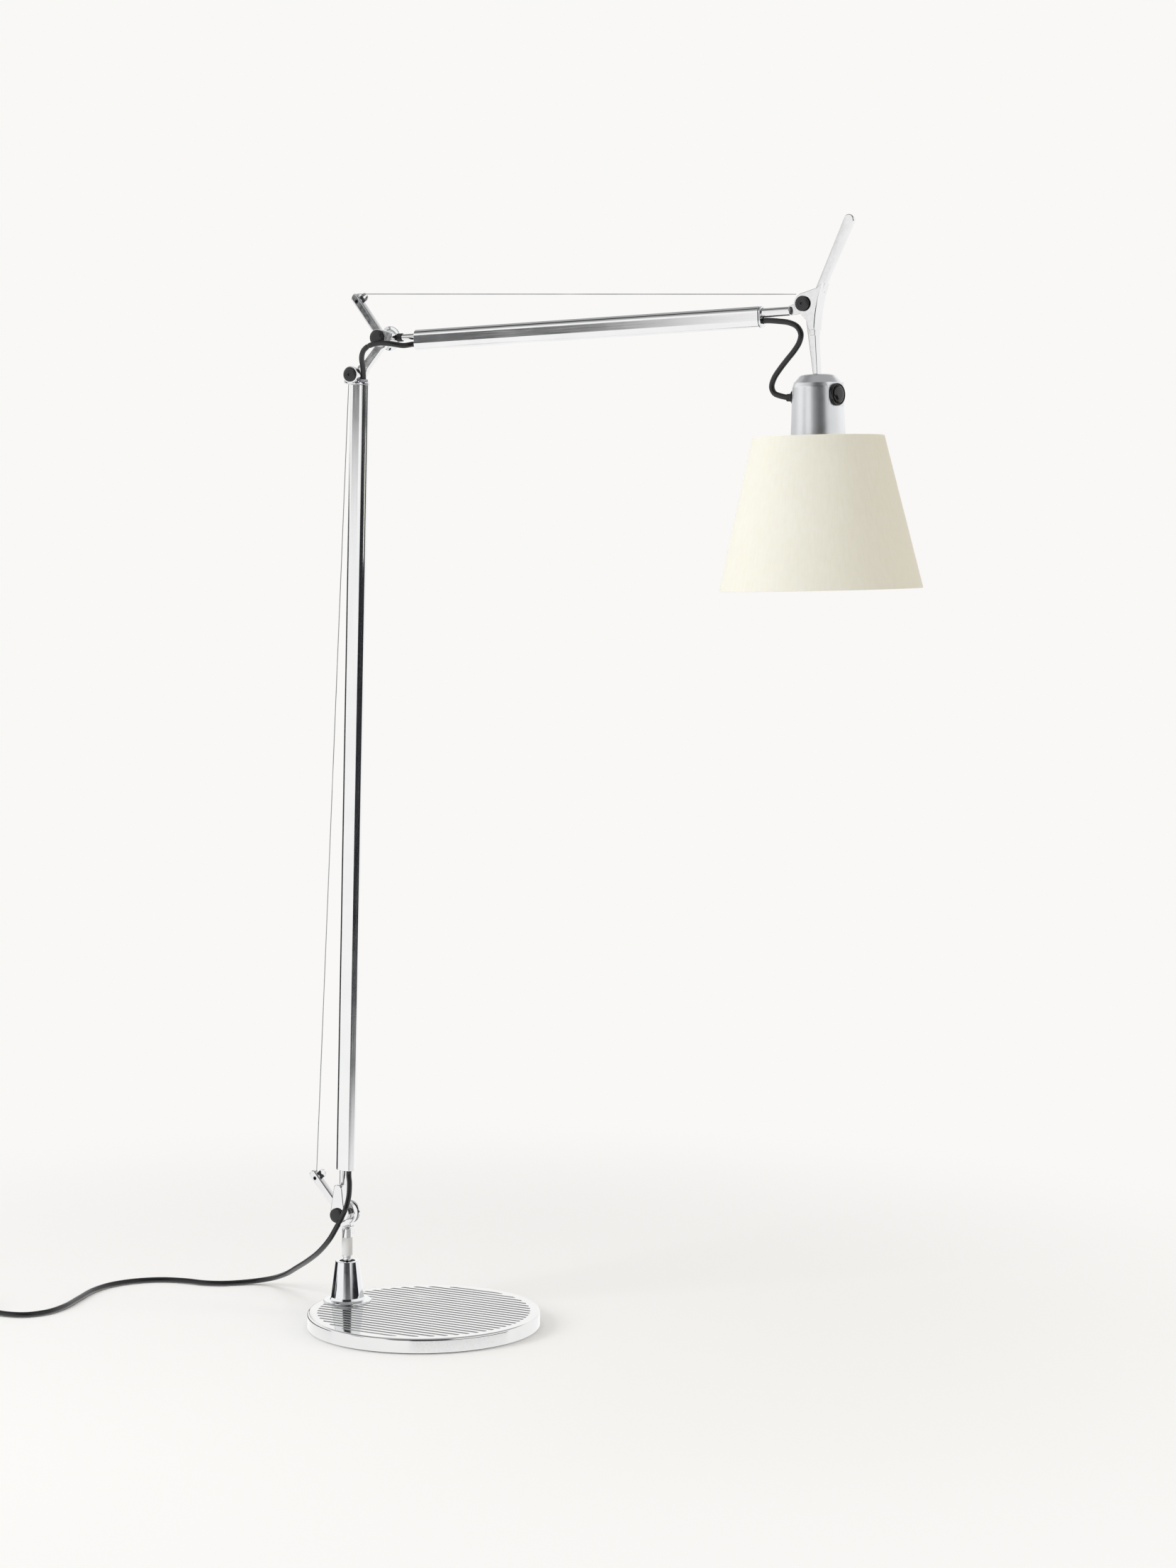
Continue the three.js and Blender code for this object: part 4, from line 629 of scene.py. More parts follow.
disc = lathe([(0, BASE_BOTTOM), (BASE_RADIUS, BASE_BOTTOM, 0.8), (BASE_RADIUS, BASE_TOP, 2.2), (0, BASE_TOP)],
             160, 6)
section = [(-GROOVE_HALF, 0), (-GROOVE_HALF + 0.35, -0.42), (-GROOVE_HALF + 0.95, -GROOVE_DEPTH),
           (GROOVE_HALF - 0.95, -GROOVE_DEPTH), (GROOVE_HALF - 0.35, -0.42), (GROOVE_HALF, 0),
           (GROOVE_HALF, 1), (-GROOVE_HALF, 1)]
bm = bmesh.new()
for i in range(-12, 13):
    y = i * GROOVE_PITCH
    half = math.sqrt(max(GROOVE_EDGE ** 2 - y * y, 0))
    near = [bm.verts.new((-half, y + a, BASE_TOP + b)) for a, b in section]
    far = [bm.verts.new((half, y + a, BASE_TOP + b)) for a, b in section]
    bm.faces.new(near)
    bm.faces.new(far)
    for k in range(len(section)):
        n = (k + 1) % len(section)
        bm.faces.new((near[k], near[n], far[n], far[k]))
grooves = new_object(bm)
field = bar(GROOVE_EDGE, BASE_TOP - 3, BASE_TOP + 3, segments=160, round_ends=0)
seat = bar(24.3, BASE_TOP - 4, BASE_TOP + 4, centre=(STEM_X, 0), segments=96, round_ends=0)
grooves = cut(combined(grooves, [field], "INTERSECT"), seat)
well = bar(13, 0, 8.3, centre=(STEM_X, 0), round_ends=0)
hole = bar(4.3, 0, 20, centre=(STEM_X, 0), round_ends=0)
disc = place(cut(disc, grooves, well, hole), "base_disc_grooved", WORLD, "base", "base", "base_metal",
             "base_disc",
             angle=24)
disc.data.materials.append(LOOKS["groove"])
for face in disc.data.polygons:
    x, y, z = face.center * 1000
    if BASE_TOP - 1 < z < BASE_TOP - 0.04 and math.hypot(x, y) < GROOVE_EDGE:
        face.material_index = 1

cone = lathe([(4.3, BASE_TOP), (24, BASE_TOP, 0.3), (24, BASE_TOP + 1.6, 0.7), (17.6, BASE_TOP + 1.7, 1.2),
              (16.4, BASE_TOP + 4.5, 1), (11.7, CONE_RIM, 0.7), (CONE_BORE, CONE_RIM, 0.5),
              (CONE_BORE, BORE_FLOOR), (4.3, BORE_FLOOR)], 128, 5)
place(cone, "cone_foot_chrome", STEM_AXIS, "base", "chrome", "chrome", "cone_foot")
bolt = union(bar(4, 7, 22.5), prism(arc(0, 0, 7, 0, 300, 5), 3, 8.3, 0.4, axis="Z"))
place(bolt, "base_bolt_steel", STEM_AXIS, "base", "steel", "steel", "base_bolt")
bush = lathe([(4.7, 23.8), (7.55, 23.8, 0.3), (7.55, 51.5, 0.5), (4.7, 51.5, 0.5)], 64)
place(bush, "stem_bush_black", STEM_AXIS, "base", "cap", "black_plastic",
      "stem_bush")

# ------------------------------------------------------------------ stem
hx, hz = HINGE
shaft = lathe([(0, 24.1), (SHAFT_RADIUS, 24.1), (SHAFT_RADIUS, 60.2), (STEM_RADIUS, 60.5, 0.3),
               (STEM_RADIUS, 89, 0.4), (0, 89)], 64)
shaft = moved(shaft, STEM_AXIS)
ring = arc(hx, hz, 11.5, -56, 232, 48)
cheek = prism(ring + [(STEM_X - 4.6, 83), (STEM_X + 4.6, 83)], *OUTER_Y, bevel=0.8)
foot = block((STEM_X - 4.4, STEM_X + 4.4), (-2.2, 7.6), (83.1, 90.9), 0.8, 3)
stem = cut(union(shaft, cheek, foot), bar(HOLE, -20, 20, "Y", HINGE, round_ends=0))
place(stem, "stem_turned", WORLD, "stem", "stem", "polished_metal", "stem")
band = lathe([(5.05, 62), (5.28, 62, 0.08), (5.28, 80, 0.08), (5.05, 80)], 96)
place(band, "stem_band_blank", STEM_AXIS, "stem", "label", "label_film", "stem_band")


def lever(name, origin, angle, body, node_name, screw_node):
    matrix = turned_frame(origin, 90 - angle)
    main = strap(4, 4, LEVER_LENGTH, LEVER_Y, 1.3)
    boss = bar(7.5, *LEVER_Y, "Y", round_ends=0.9, segments=64)
    lug_z = LEVER_LENGTH - 4.5
    lug = prism(arc(6.6, lug_z, 4.2, -110, 110, 24) + [(2, lug_z + 4), (2, lug_z - 4)], 0.7, 2.3, 0.35)
    slot_cut = block((6.2, 12), (-1, 4), (lug_z - 0.75, lug_z + 0.75), 0)
    solid = cut(union(main, boss, lug), pin_hole(),
                bar(1.3, -20, 20, "Y", (6.9, lug_z), 24, 0), bar(1.9, -20, -0.7, "Y", (-0.4, lug_z), 32, 0),
                slot_cut)
    place(solid, name, matrix, body, "bright", "polished_metal", node_name)
    screw = bar(1.7, -5, -1.1, "Y", (-0.4, lug_z), 32, 0.25)
    hexagon = prism([(-0.4 + 0.95 * math.cos(math.radians(60 * i)),
                      lug_z + 0.95 * math.sin(math.radians(60 * i)))
                     for i in range(6)], -8, -3.2, 0)
    place(cut(screw, hexagon), name + "_screw", matrix, body, "black_steel", "black_steel", screw_node)


lever("lower_lever_bar", HINGE, 132.3, "stem", "lower_lever", "lower_set_screw")
lever("elbow_lever_bar", ELBOW_UPPER, 127.6, "elbow_link", "elbow_lever", "elbow_set_screw")


def pin(name, matrix, body, node_name, low, high):
    place(bar(PIN, low, high, "Y", segments=40), name, matrix, body, "steel", "steel", node_name)


def cap(name, matrix, body, node_name, ys, radius, dimple):
    """A domed black cap on a hinge pin; dimple is the radius of its middle hole."""
    height = ys[1] - ys[0]
    profile = [(0, 0), (radius - 0.3, 0, 0.2), (radius, height * 0.35, 0.5),
               (radius * 0.93, height * 0.72, 1.2),
               (radius * 0.62, height * 0.95, 2), (radius * 0.3, height)]
    profile += [(dimple, height, 0.15), (dimple, height - 1), (0, height - 1)] if dimple else [(0, height)]
    obj = moved(lathe(profile, 64, 6), Matrix.Translation((0, ys[1], 0))
                @ ALONG_Y)
    place(obj, name, matrix, body, "cap", "black_plastic", node_name)


def knob(name, matrix, body, node_name):
    """A dished clamping disc, its edge milled, with a low collar in its middle."""
    disc = lathe([(HOLE, 0), (8, 0, 0.3), (9, 1.5, 0.3), (11.6, 1.9, 0.4), (12, 2.7, 0.3), (12, 3.9, 0.4),
                  (11, 4.7, 0.6), (8.4, 4.4, 1.2), (6.4, 5.9, 0.4), (HOLE, 5.9, 0.3)], 96)
    notches = [bar(0.45, -1, 7, centre=(12.1 * math.cos(a), 12.1 * math.sin(a)), segments=10, round_ends=0)
               for a in [2 * math.pi * i / 36 for i in range(36)]]
    bm = bmesh.new()
    for notch in notches:
        bm.from_mesh(notch.data)
        bpy.data.objects.remove(notch)
    disc = cut(disc, new_object(bm))
    disc = moved(disc, Matrix.Translation((0, KNOB_Y[0], 0)) @ Matrix.Rotation(-math.pi / 2, 4, "X"))
    place(disc, name, matrix, body, "chrome", "chrome", node_name)


hinge = turned_frame(HINGE, 0)
pin("lower_hinge_pin_steel", hinge, "stem", "lower_hinge_pin", CHEEK_Y[0], KNOB_Y[1] - 0.5)
knob("lower_knob_milled", hinge, "lower_knob", "lower_knob")
cap("lower_hinge_cap_domed", LOWER, "lower_arm", "lower_hinge_cap", CAP_Y, 7.5, 0)


# ------------------------------------------------------------------ arms
LAY_DOWN = Matrix(((0, 0, 1, 0), (0, 1, 0, 0), (1, 0, 0, 0), (0, 0, 0, 1)))  # z becomes x, and x becomes z


def knuckle(name, matrix, body, node_name, length, side, rod_end):
    cheek = strap(EYE, 4.8, length, CHEEK_Y, 0.9)
    shoulder = block((side - 3.6, side + 3.6), (CHEEK_Y[0] + 0.8, ROD - 0.1), (length - 5, length + 4), 1.2,
                     3)
    rod = bar(ROD, length, rod_end, centre=(side, 0))
    solid = cut(union(cheek, shoulder, rod), pin_hole())
    place(solid, name, matrix, body, "bright", "polished_metal", node_name)


def arm_tube(name, matrix, body, look, node_name, centre, low, high):
    """The oval tube, flat on its broad sides, round at both ends, and hollowed to a wall of WALL."""
    outside = slot_bar(0, centre, low, high, 0.25)
    inside = slot_bar(-WALL, centre, low - 1, high + 1)
    place(cut(outside, inside), name, matrix, body, look, "polished_metal", node_name, angle=40)


knuckle("lower_knuckle_cast", LOWER, "lower_arm", "lower_knuckle", LOWER_KNUCKLE, ROD_SIDE, LOWER_START + 30)
arm_tube("lower_tube_drawn", LOWER, "lower_arm", "lower_tube", "lower_arm_tube", LOWER_SHIFT, LOWER_START,
         LOWER_END)
plug_plate = cut(slot_bar(-1.5, LOWER_SHIFT, 45.3, 48.3, 0.2), bar(3.4, 0, 60, centre=(ROD_SIDE, 0)),
                 bar(2.95, 0, 60, centre=(LEAD_SIDE, 0)))
place(plug_plate, "lower_tube_plug_plate", LOWER, "lower_arm", "satin", "satin_metal", "lower_tube_plug")

top = LOWER_END
roller_x, roller_z = LOWER_SHIFT - 10, top + 5.6
plate = slot_bar(0, LOWER_SHIFT, top + GAP, top + 2.7, 0.4)
spigot = bar(2.8, top - 22, top + 1, centre=(ROD_SIDE, 0))
eye = bar(EYE, *CHEEK_Y, "Y", (-2.5, 834), 64, 0.8)
web = block((roller_x - 2, 3), (CHEEK_Y[0] + 0.5, CHEEK_Y[1]), (top + 0.8, roller_z + 2), 0.8, 3)
ledge = block((-8, 2), (CHEEK_Y[0] + 0.5, 3), (top + GAP, top + 2.7), 0.4)
roller_pin = bar(1.2, CHEEK_Y[1] - 2, WIRE_Y + 2.2, "Y", (roller_x, roller_z), 24)
fitting = union(plate, spigot, eye, web, ledge, roller_pin)
fitting = cut(fitting, bar(4.8, top - 1, top + 20, centre=(LEAD_SIDE, 0), round_ends=0),
              bar(HOLE, -20, 20, "Y", (-2.5, 834), round_ends=0))
place(fitting, "elbow_fitting_cast", LOWER, "lower_arm", "bright", "polished_metal", "elbow_fitting")
ferrule = lathe([(2.95, top - 4), (3.9, top - 4), (3.9, top + GAP), (4.5, top + GAP, 0.3),
                 (4.5, top + 5.6, 0.9), (2.95, top + 5.6, 0.3)], 64, 5)
place(ferrule, "lead_ferrule_pale", LOWER @ Matrix.Translation((LEAD_SIDE, 0, 0)), "lower_arm", "clear",
      "clear_plastic", "lead_ferrule")


def roller(name, matrix, body, node_name, ys, bore, radius, centre):
    half = (ys[1] - ys[0]) / 2
    wheel = lathe([(bore, -half), (radius, -half, 0.2), (radius, -half + 0.5, 0.2), (radius - 0.9, -0.4, 0.3),
                   (radius - 0.9, 0.4, 0.3), (radius, half - 0.5, 0.2), (radius, half, 0.2), (bore, half)],
                  56)
    turn = Matrix.Translation((centre[0], sum(ys) / 2, centre[1])) @ ALONG_Y
    place(moved(wheel, turn), name, matrix, body, "steel", "steel", node_name)


roller("lower_wire_roller_wheel", LOWER, "lower_arm", "lower_wire_roller", (-3, 0.6), 1.5, 2.6,
       (roller_x, roller_z))
elbow_low = turned_frame(ELBOW_LOWER, 0)
elbow_high = turned_frame(ELBOW_UPPER, 0)
pin("elbow_lower_pin_steel", elbow_low, "lower_arm", "elbow_lower_pin", CHEEK_Y[0], OUTER_Y[1])
cap("elbow_lower_cap_domed", LOWER @ Matrix.Translation((-2.5, 0, 834)), "lower_arm", "elbow_lower_cap",
    (-14, CAP_Y[1]), 7.0, 1.2)

link = turned_frame(ELBOW_LOWER, 42)
outline = arc(0, 0, 6, 180, 360, 24)[:-1] + [(6, 2)] + [tuple(p) for p in filleted(
    [(6, 3), (6, 7.5, 2), (4.2, 11, 3), (4.2, LINK_LENGTH - 11, 3), (6, LINK_LENGTH - 7.5, 2),
     (6, LINK_LENGTH - 3)], False)]
outline += arc(0, LINK_LENGTH, 6, 0, 180, 24)
outline += [tuple(p) for p in filleted(
    [(-6, LINK_LENGTH - 3), (-6, LINK_LENGTH - 7.5, 2), (-4.2, LINK_LENGTH - 11, 3), (-4.2, 11, 3),
     (-6, 7.5, 2), (-6, 3)], False)]
link_bar = cut(prism(outline, *OUTER_Y, bevel=0.8), pin_hole(),
               bar(HOLE, -20, 20, "Y", (0, LINK_LENGTH), round_ends=0))
place(link_bar, "elbow_link_bar", link, "elbow_link", "bright", "polished_metal", "elbow_link")
pin("elbow_upper_pin_steel", elbow_high, "elbow_link", "elbow_upper_pin", CHEEK_Y[0], KNOB_Y[1] - 0.5)
knob("elbow_knob_milled", elbow_high, "elbow_knob", "elbow_knob")

cap("elbow_upper_cap_domed", UPPER, "upper_arm", "elbow_upper_cap", CAP_Y, 7.5, 0)
LAID = UPPER @ LAY_DOWN
knuckle("upper_knuckle_cast", LAID, "upper_arm", "upper_knuckle", UPPER_KNUCKLE, ROD_UP, UPPER_START + 30)
ring_start = UPPER_KNUCKLE + 4 + GAP
ring_end = ring_start + RING_WIDTH
rod_ring = lathe([(3.16, ring_start), (4.0, ring_start, 0.5), (4.0, ring_end, 0.5), (3.16, ring_end)], 48)
place(rod_ring, "upper_rod_ring_rubber", LAID @ Matrix.Translation((ROD_UP, 0, 0)), "upper_arm", "rubber",
      "rubber",
      "upper_rod_ring")
arm_tube("upper_tube_drawn", LAID, "upper_arm", "upper_tube", "upper_arm_tube", UPPER_CENTRE, UPPER_START,
         UPPER_END)
rear_plate = cut(slot_bar(-1.5, UPPER_CENTRE, 38.8, 41.8, 0.2), bar(3.4, 0, 60, centre=(ROD_UP, 0)),
                 bar(2.95, 0, 60, centre=(LEAD_UP, 0)))
place(rear_plate, "upper_rear_plug_plate", LAID, "upper_arm", "satin", "satin_metal", "upper_rear_plug")
end = UPPER_END
collar = cut(union(slot_bar(-0.3, UPPER_CENTRE, end + GAP, end + 2.5, 0.7),
                   slot_bar(-1.5, UPPER_CENTRE, end - 5, end + 1)),
             bar(2.95, end - 9, end + 20, centre=(LEAD_UP, 0), round_ends=0),
             bar(4.6, end - 9, end + 20, centre=(ROD_UP, 0), round_ends=0))
place(collar, "upper_front_collar", LAID, "upper_arm", "chrome", "chrome", "upper_front_plug")

rod = moved(bar(FRONT_ROD, end - 22, UPPER_LENGTH - 16, centre=(ROD_UP, 0), segments=64, round_ends=1),
            LAY_DOWN)
HEAD_EYE_Y = (0.6, 4.9)
ramp_line = filleted([(UPPER_LENGTH - 20, ROD_UP - 4.1), (UPPER_LENGTH - 9, ROD_UP - 3.4, 2),
                      (UPPER_LENGTH - 3, PIN_LIFT - 5.6), (UPPER_LENGTH - 3, PIN_LIFT + 5.6),
                      (UPPER_LENGTH - 11, PIN_LIFT + 2, 4), (UPPER_LENGTH - 20, ROD_UP + 4.1)])
ramp = prism([tuple(p) for p in ramp_line], *HEAD_EYE_Y, bevel=0.6)
eye = bar(EYE - 1.6, *HEAD_EYE_Y, "Y", (UPPER_LENGTH, PIN_LIFT), 64, 0.5)
rod = cut(union(rod, ramp, eye), bar(HOLE, -20, 20, "Y", (UPPER_LENGTH, PIN_LIFT), round_ends=0))
place(rod, "upper_front_rod_turned", UPPER, "upper_arm", "bright", "polished_metal", "upper_front_rod")
roller("upper_wire_roller_wheel", UPPER, "upper_arm", "upper_wire_roller", (-4.9, 0.3), HOLE, 7.8,
       (UPPER_LENGTH, PIN_LIFT))

# ------------------------------------------------------------------ head
pin("head_pin_steel", HEAD, "head", "head_pin", -9, 9)
cap("head_cap_domed", HEAD, "head", "head_cap", (-11.4, -9.3), 7.0, 1.2)
FRONT = HEAD_SHIFT + 1.7
outline = arc(0, 0, 9.5, 135, 252, 28) + [(2.6, -15), (FRONT - 6, -24), (FRONT - 0.4, -24)]
start, bend, finish_at = Vector((FRONT - 0.4, -24)), Vector((FRONT + 0.4, -3)), Vector((FRONT + 8.4, 17.5))
outline += [tuple(start * (1 - t) ** 2 + bend * 2 * t * (1 - t) + finish_at * t * t)
            for t in [i / 20 for i in range(1, 21)]]
outline += [(FRONT + 2.5, 13.5), (-3, 9.2)]
yoke = prism(outline, -8, 8, 0.9, 4)
neck = prism([(0.8, -13), (HEAD_SHIFT - 2.4, -64), (HEAD_SHIFT + 2.4, -64), (FRONT - 0.6, -26),
              (FRONT - 0.4, -20)],
             -4.6, 4.6, 1.0, 4)
taper = prism([(4, -23), (FRONT - 0.5, -23), (FRONT - 0.8, -29), (5.4, -29)], -6, 6, 1.0, 4)
HANDLE_SLANT = 63.4
handle = strap(4, 5.2, 71.4, (-2.3, 2.3), 1.1)
handle = moved(handle, Matrix.Translation((FRONT + 2.6 - math.cos(math.radians(HANDLE_SLANT)) * 4, 0, 9))
               @ Matrix.Rotation(math.radians(90 - HANDLE_SLANT), 4, "Y"))
fork = [block((-20, 9.2), (-5.2, 5.2), (-10, 9.4), 0) for _ in range(2)]
yoke = cut(union(yoke, neck, taper), fork[0])
yoke = cut(union(yoke, cut(handle, fork[1])), pin_hole())
place(yoke, "head_bracket_cast", HEAD, "head", "bright", "polished_metal", "head_bracket")

shell = lathe([(0, HOUSE_TOP), (14, HOUSE_TOP, 0.6), (16.4, -65.4, 1.5), (21.6, -71.6, 4), (22.9, -75.5, 4),
               (26, HOUSE_END, 0.5), (24.5, HOUSE_END, 0.3), (21.2, -74.3), (14, -66.8), (0, -66.8)], 128, 6)
pad_sides = (-SWITCH_HALF, SWITCH_HALF), (SWITCH_Z - 11, SWITCH_Z + 11)
clear = moved(block((SWITCH_FACE, 40), *pad_sides, 0), SWITCH_SPIN)
pad = moved(block((16.5, SWITCH_FACE), *pad_sides, 0), SWITCH_SPIN)
room = moved(block((0, 19.3), (-9, 9), (SWITCH_Z - 9, SWITCH_Z + 9), 0), SWITCH_SPIN)
push_hole = moved(bar(8, 0, 40, "X", (0, SWITCH_Z), round_ends=0), SWITCH_SPIN)
shell = cut(union(cut(shell, clear), pad), room, push_hole,
            bar(4.7, -40, 0, "X", (0, GROMMET_Z), round_ends=0), bar(2.3, -75, -60, round_ends=0))
place(shell, "lamp_housing_spun", HOUSING, "head", "satin", "satin_metal", "lamp_housing", angle=28)
screw = union(bar(2, -67.8, HOUSE_TOP), bar(3.6, -69.8, -67.1))
place(screw, "neck_screw_steel", HOUSING, "head", "steel", "steel", "neck_screw")
FACING = Matrix.Rotation(math.pi / 2, 4, "Y")
ring = lathe([(8, 0), (10.2, 0, 0.2), (10.2, 1.7, 0.5), (9.6, 2.6, 0.4), (9.0, 2.6, 0.3), (8.6, 1.9, 0.3),
              (8, 1.9, 0.2)], 96)
place(ring, "switch_ring_gloss", SWITCH @ Matrix.Translation((21.8, 0, SWITCH_Z)) @ FACING, "head", "switch",
      "black_plastic", "switch_ring")
button = lathe([(0, 0), (7.7, 0), (7.7, 4.1, 0.6), (6.8, 4.7, 0.8), (4, 5.2, 3), (0, 5.4)], 96, 6)
place(button, "switch_button_domed", SWITCH @ Matrix.Translation((20.6, 0, SWITCH_Z)) @ FACING,
      "switch_button",
      "switch", "black_plastic", "switch_button")
place(block((10.3, 18.3), (-7, 7), (SWITCH_Z - 7, SWITCH_Z + 7), 0.6), "switch_body_moulded", SWITCH, "head",
      "cap",
      "black_plastic", "switch_body")
wall_x = 22.7 + 3.3 * (19.5 - 9) / 67
grommet = lathe([(2.75, -3), (4.4, -3, 0.3), (4.4, 0.6), (6.5, 0.6, 0.3), (6.5, 1.6, 0.4), (4.6, 1.9, 0.3),
                 (4.2, 3.0, 0.3),
                 (3.7, 3.2, 0.2), (3.6, 4.4, 0.2), (3.4, 7.5, 0.3), (2.75, 7.5)], 64)
place(grommet, "lead_grommet_moulded", HOUSING @ Matrix.Translation((-wall_x, 0, GROMMET_Z))
      @ Matrix.Rotation(-math.pi / 2, 4, "Y"), "head", "rubber", "rubber", "lead_grommet")

socket_top = SWITCH_Z - 12
socket = lathe([(0, socket_top), (9, socket_top, 1), (SOCKET_R, socket_top - 6, 2),
                (SOCKET_R, SOCKET_END, 0.8),
                (SOCKET_MOUTH, SOCKET_END, 0.5), (SOCKET_MOUTH, socket_top - 20), (0, socket_top - 20)], 96)
place(socket, "lamp_socket_glazed", HOUSING, "head", "ceramic", "ceramic", "lamp_socket")


def shade_radius(z):
    return SHADE_R0 + (SHADE_R1 - SHADE_R0) * (SHADE_TOP - z) / (SHADE_TOP - SHADE_END)


ring_top = SHADE_TOP - 6
rim = shade_radius(ring_top) - 1.2 - GAP
outer = lathe([(rim - 2.6, ring_top - 2.5, 0.8), (rim, ring_top - 2.5, 0.8), (rim, ring_top, 0.8),
               (rim - 2.6, ring_top, 0.8)], 128)
hub = lathe([(SOCKET_R + GAP, HUB_Z - 1.6), (HUB_R, HUB_Z - 1.6, 0.4), (HUB_R, HUB_Z, 0.4),
             (SOCKET_R + GAP, HUB_Z)], 96)
spokes = []
for turn in (90, 210, 330):
    arm = prism([(HUB_R - 1.5, HUB_Z - 1.6), (rim - 1, ring_top - 2.5), (rim - 1, ring_top - 0.5),
                 (HUB_R - 1.5, HUB_Z)],
                -2, 2, 0.45)
    spokes.append(moved(arm, Matrix.Rotation(math.radians(turn), 4, "Z")))
place(union(outer, hub, *spokes), "shade_carrier_wire", HOUSING, "head", "satin", "satin_metal",
      "shade_carrier")
nut_top = HUB_Z - 1.9
nut = lathe([(SOCKET_R + GAP, nut_top - 6), (HUB_R - 1, nut_top - 6, 0.6), (HUB_R - 1, nut_top, 0.6),
             (SOCKET_R + GAP, nut_top)], 96)
grips = bmesh.new()
for i in range(24):
    a = 2 * math.pi * i / 24
    grip = bar(0.7, nut_top - 8, nut_top + 2, centre=((HUB_R - 0.8) * math.cos(a),
                                                      (HUB_R - 0.8) * math.sin(a)),
               segments=10, round_ends=0)
    grips.from_mesh(grip.data)
    bpy.data.objects.remove(grip)
place(cut(nut, new_object(grips)), "shade_ring_nut_ribbed", HOUSING, "head", "ceramic", "ceramic",
      "shade_ring_nut")

shade = lathe([(SHADE_R0, SHADE_TOP, 0.45), *[(shade_radius(z), z)
                                              for z in (-140, -160, -180, -200, -220, -240)],
               (SHADE_R1, SHADE_END, 0.45), (SHADE_R1 - 1.2, SHADE_END, 0.45),
               *[(shade_radius(z) - 1.2, z) for z in (-240, -220, -200, -180, -160, -140)],
               (SHADE_R0 - 1.2, SHADE_TOP, 0.45)], 192, 3)
place(shade, "shade_cone", HOUSING, "head", "shade", "parchment", "shade")
BULB_END = SHADE_END + 22
globe = [(30 * math.cos(a), BULB_END + 30 * (1 + math.sin(a)))
         for a in [math.radians(-90 + 135 * i / 30) for i in range(31)]]
globe[0] = (0, BULB_END)
bulb = lathe([*globe, (16.6, SOCKET_END - 6, 3), (13.1, SOCKET_END - 1.5, 1), (13.1, SOCKET_END + 16, 0.5),
              (5, SOCKET_END + 20, 0.5), (0, SOCKET_END + 20)], 96)
place(bulb, "bulb_opal", HOUSING, "head", "opal", "opal_glass", "bulb", angle=50)

# ------------------------------------------------------------------ balance wires
WIRES = {
    "lower": ((-125.32, 144.42), (-81.45, 932.87), "lower_wire_foot", "lower_wire_top"),
    "upper": ((-69.21, 1015.63), (402.47, 1001.0), "upper_wire_rear", "upper_wire_front"),
}
for which, (first, last, near_node, far_node) in WIRES.items():
    a, b = Vector((first[0], WIRE_Y, first[1])), Vector((last[0], WIRE_Y, last[1]))
    middle, unit = (a + b) / 2, (b - a).normalized()
    for name, start, stop, body in ((f"{which}_wire_near", a - unit * 2, middle + unit * 3, near_node),
                                    (f"{which}_wire_far", middle - unit * 3, b + unit * 1, far_node)):
        wire, _ = sweep([start, (start + stop) / 2, stop], 0.45, 16, 20, 0.1)
        place(wire, name, WORLD, body, "wire", "steel", body)

# ------------------------------------------------------------------ inner pieces keep their CAD shape
for name, look in (("lower_spring", "steel"), ("upper_spring", "steel"), ("lower_arm_lead", "sheath"),
                   ("upper_arm_lead", "sheath")):
    mesh = frame["nodes"][name].data
    mesh.materials.clear()
    mesh.materials.append(LOOKS[look])

# ------------------------------------------------------------------ floor, light and surroundings
BACKDROP = (0.948, 0.938, 0.922, 1)
bm = bmesh.new()
bmesh.ops.create_circle(bm, cap_ends=True, segments=128, radius=2.4)
floor = new_object(bm, "floor")
floor_look, tree, shader = material("floor_pale", Roughness=0.85, Specular_IOR_Level=0.08)
shader.inputs["Base Color"].default_value = (0.93, 0.925, 0.917, 1)
place_on_floor = node(tree, "ShaderNodeTexCoord")
far = node(tree, "ShaderNodeVectorMath", operation="LENGTH")
fade = node(tree, "ShaderNodeMapRange", interpolation_type="SMOOTHSTEP", From_Min=0.35, From_Max=1.15)
glow = node(tree, "ShaderNodeEmission", Color=BACKDROP)
blend = node(tree, "ShaderNodeMixShader")
tree.links.new(place_on_floor.outputs["Object"], far.inputs[0])
tree.links.new(far.outputs["Value"], fade.inputs["Value"])
tree.links.new(fade.outputs["Result"], blend.inputs["Fac"])
tree.links.new(shader.outputs["BSDF"], blend.inputs[1])
tree.links.new(glow.outputs["Emission"], blend.inputs[2])
tree.links.new(blend.outputs["Shader"], tree.nodes["Material Output"].inputs["Surface"])
floor.data.materials.append(floor_look)
floor.location.z = -0.0002
floor.visible_glossy = False


def area_light(name, place_at, target, size, power, colour=(1, 1, 1)):
    data = bpy.data.lights.new(name, "AREA")
    data.shape = "RECTANGLE"
    data.size, data.size_y = size
    data.energy = power
    data.color = colour
    light = bpy.data.objects.new(name, data)
    light.location = place_at
    light.rotation_euler = (Vector(target) - Vector(place_at)).to_track_quat("-Z", "Y").to_euler()
    light.visible_glossy = False
    bpy.context.scene.collection.objects.link(light)


area_light("key", (-1.5, -2.5, 1.7), (0.15, 0, 0.6), (1.2, 1.7), 41)
area_light("top", (0.2, -0.2, 3.2), (0.1, 0, 0), (2.6, 2.6), 27)
area_light("fill", (2.4, 0.6, 1.3), (0.3, 0, 0.7), (0.9, 1.4), 9, (1.0, 0.86, 0.70))

sky = bpy.data.worlds.new("studio")
sky.use_nodes = True
bpy.context.scene.world = sky
tree = sky.node_tree
background = tree.nodes["Background"]
position = node(tree, "ShaderNodeTexCoord")


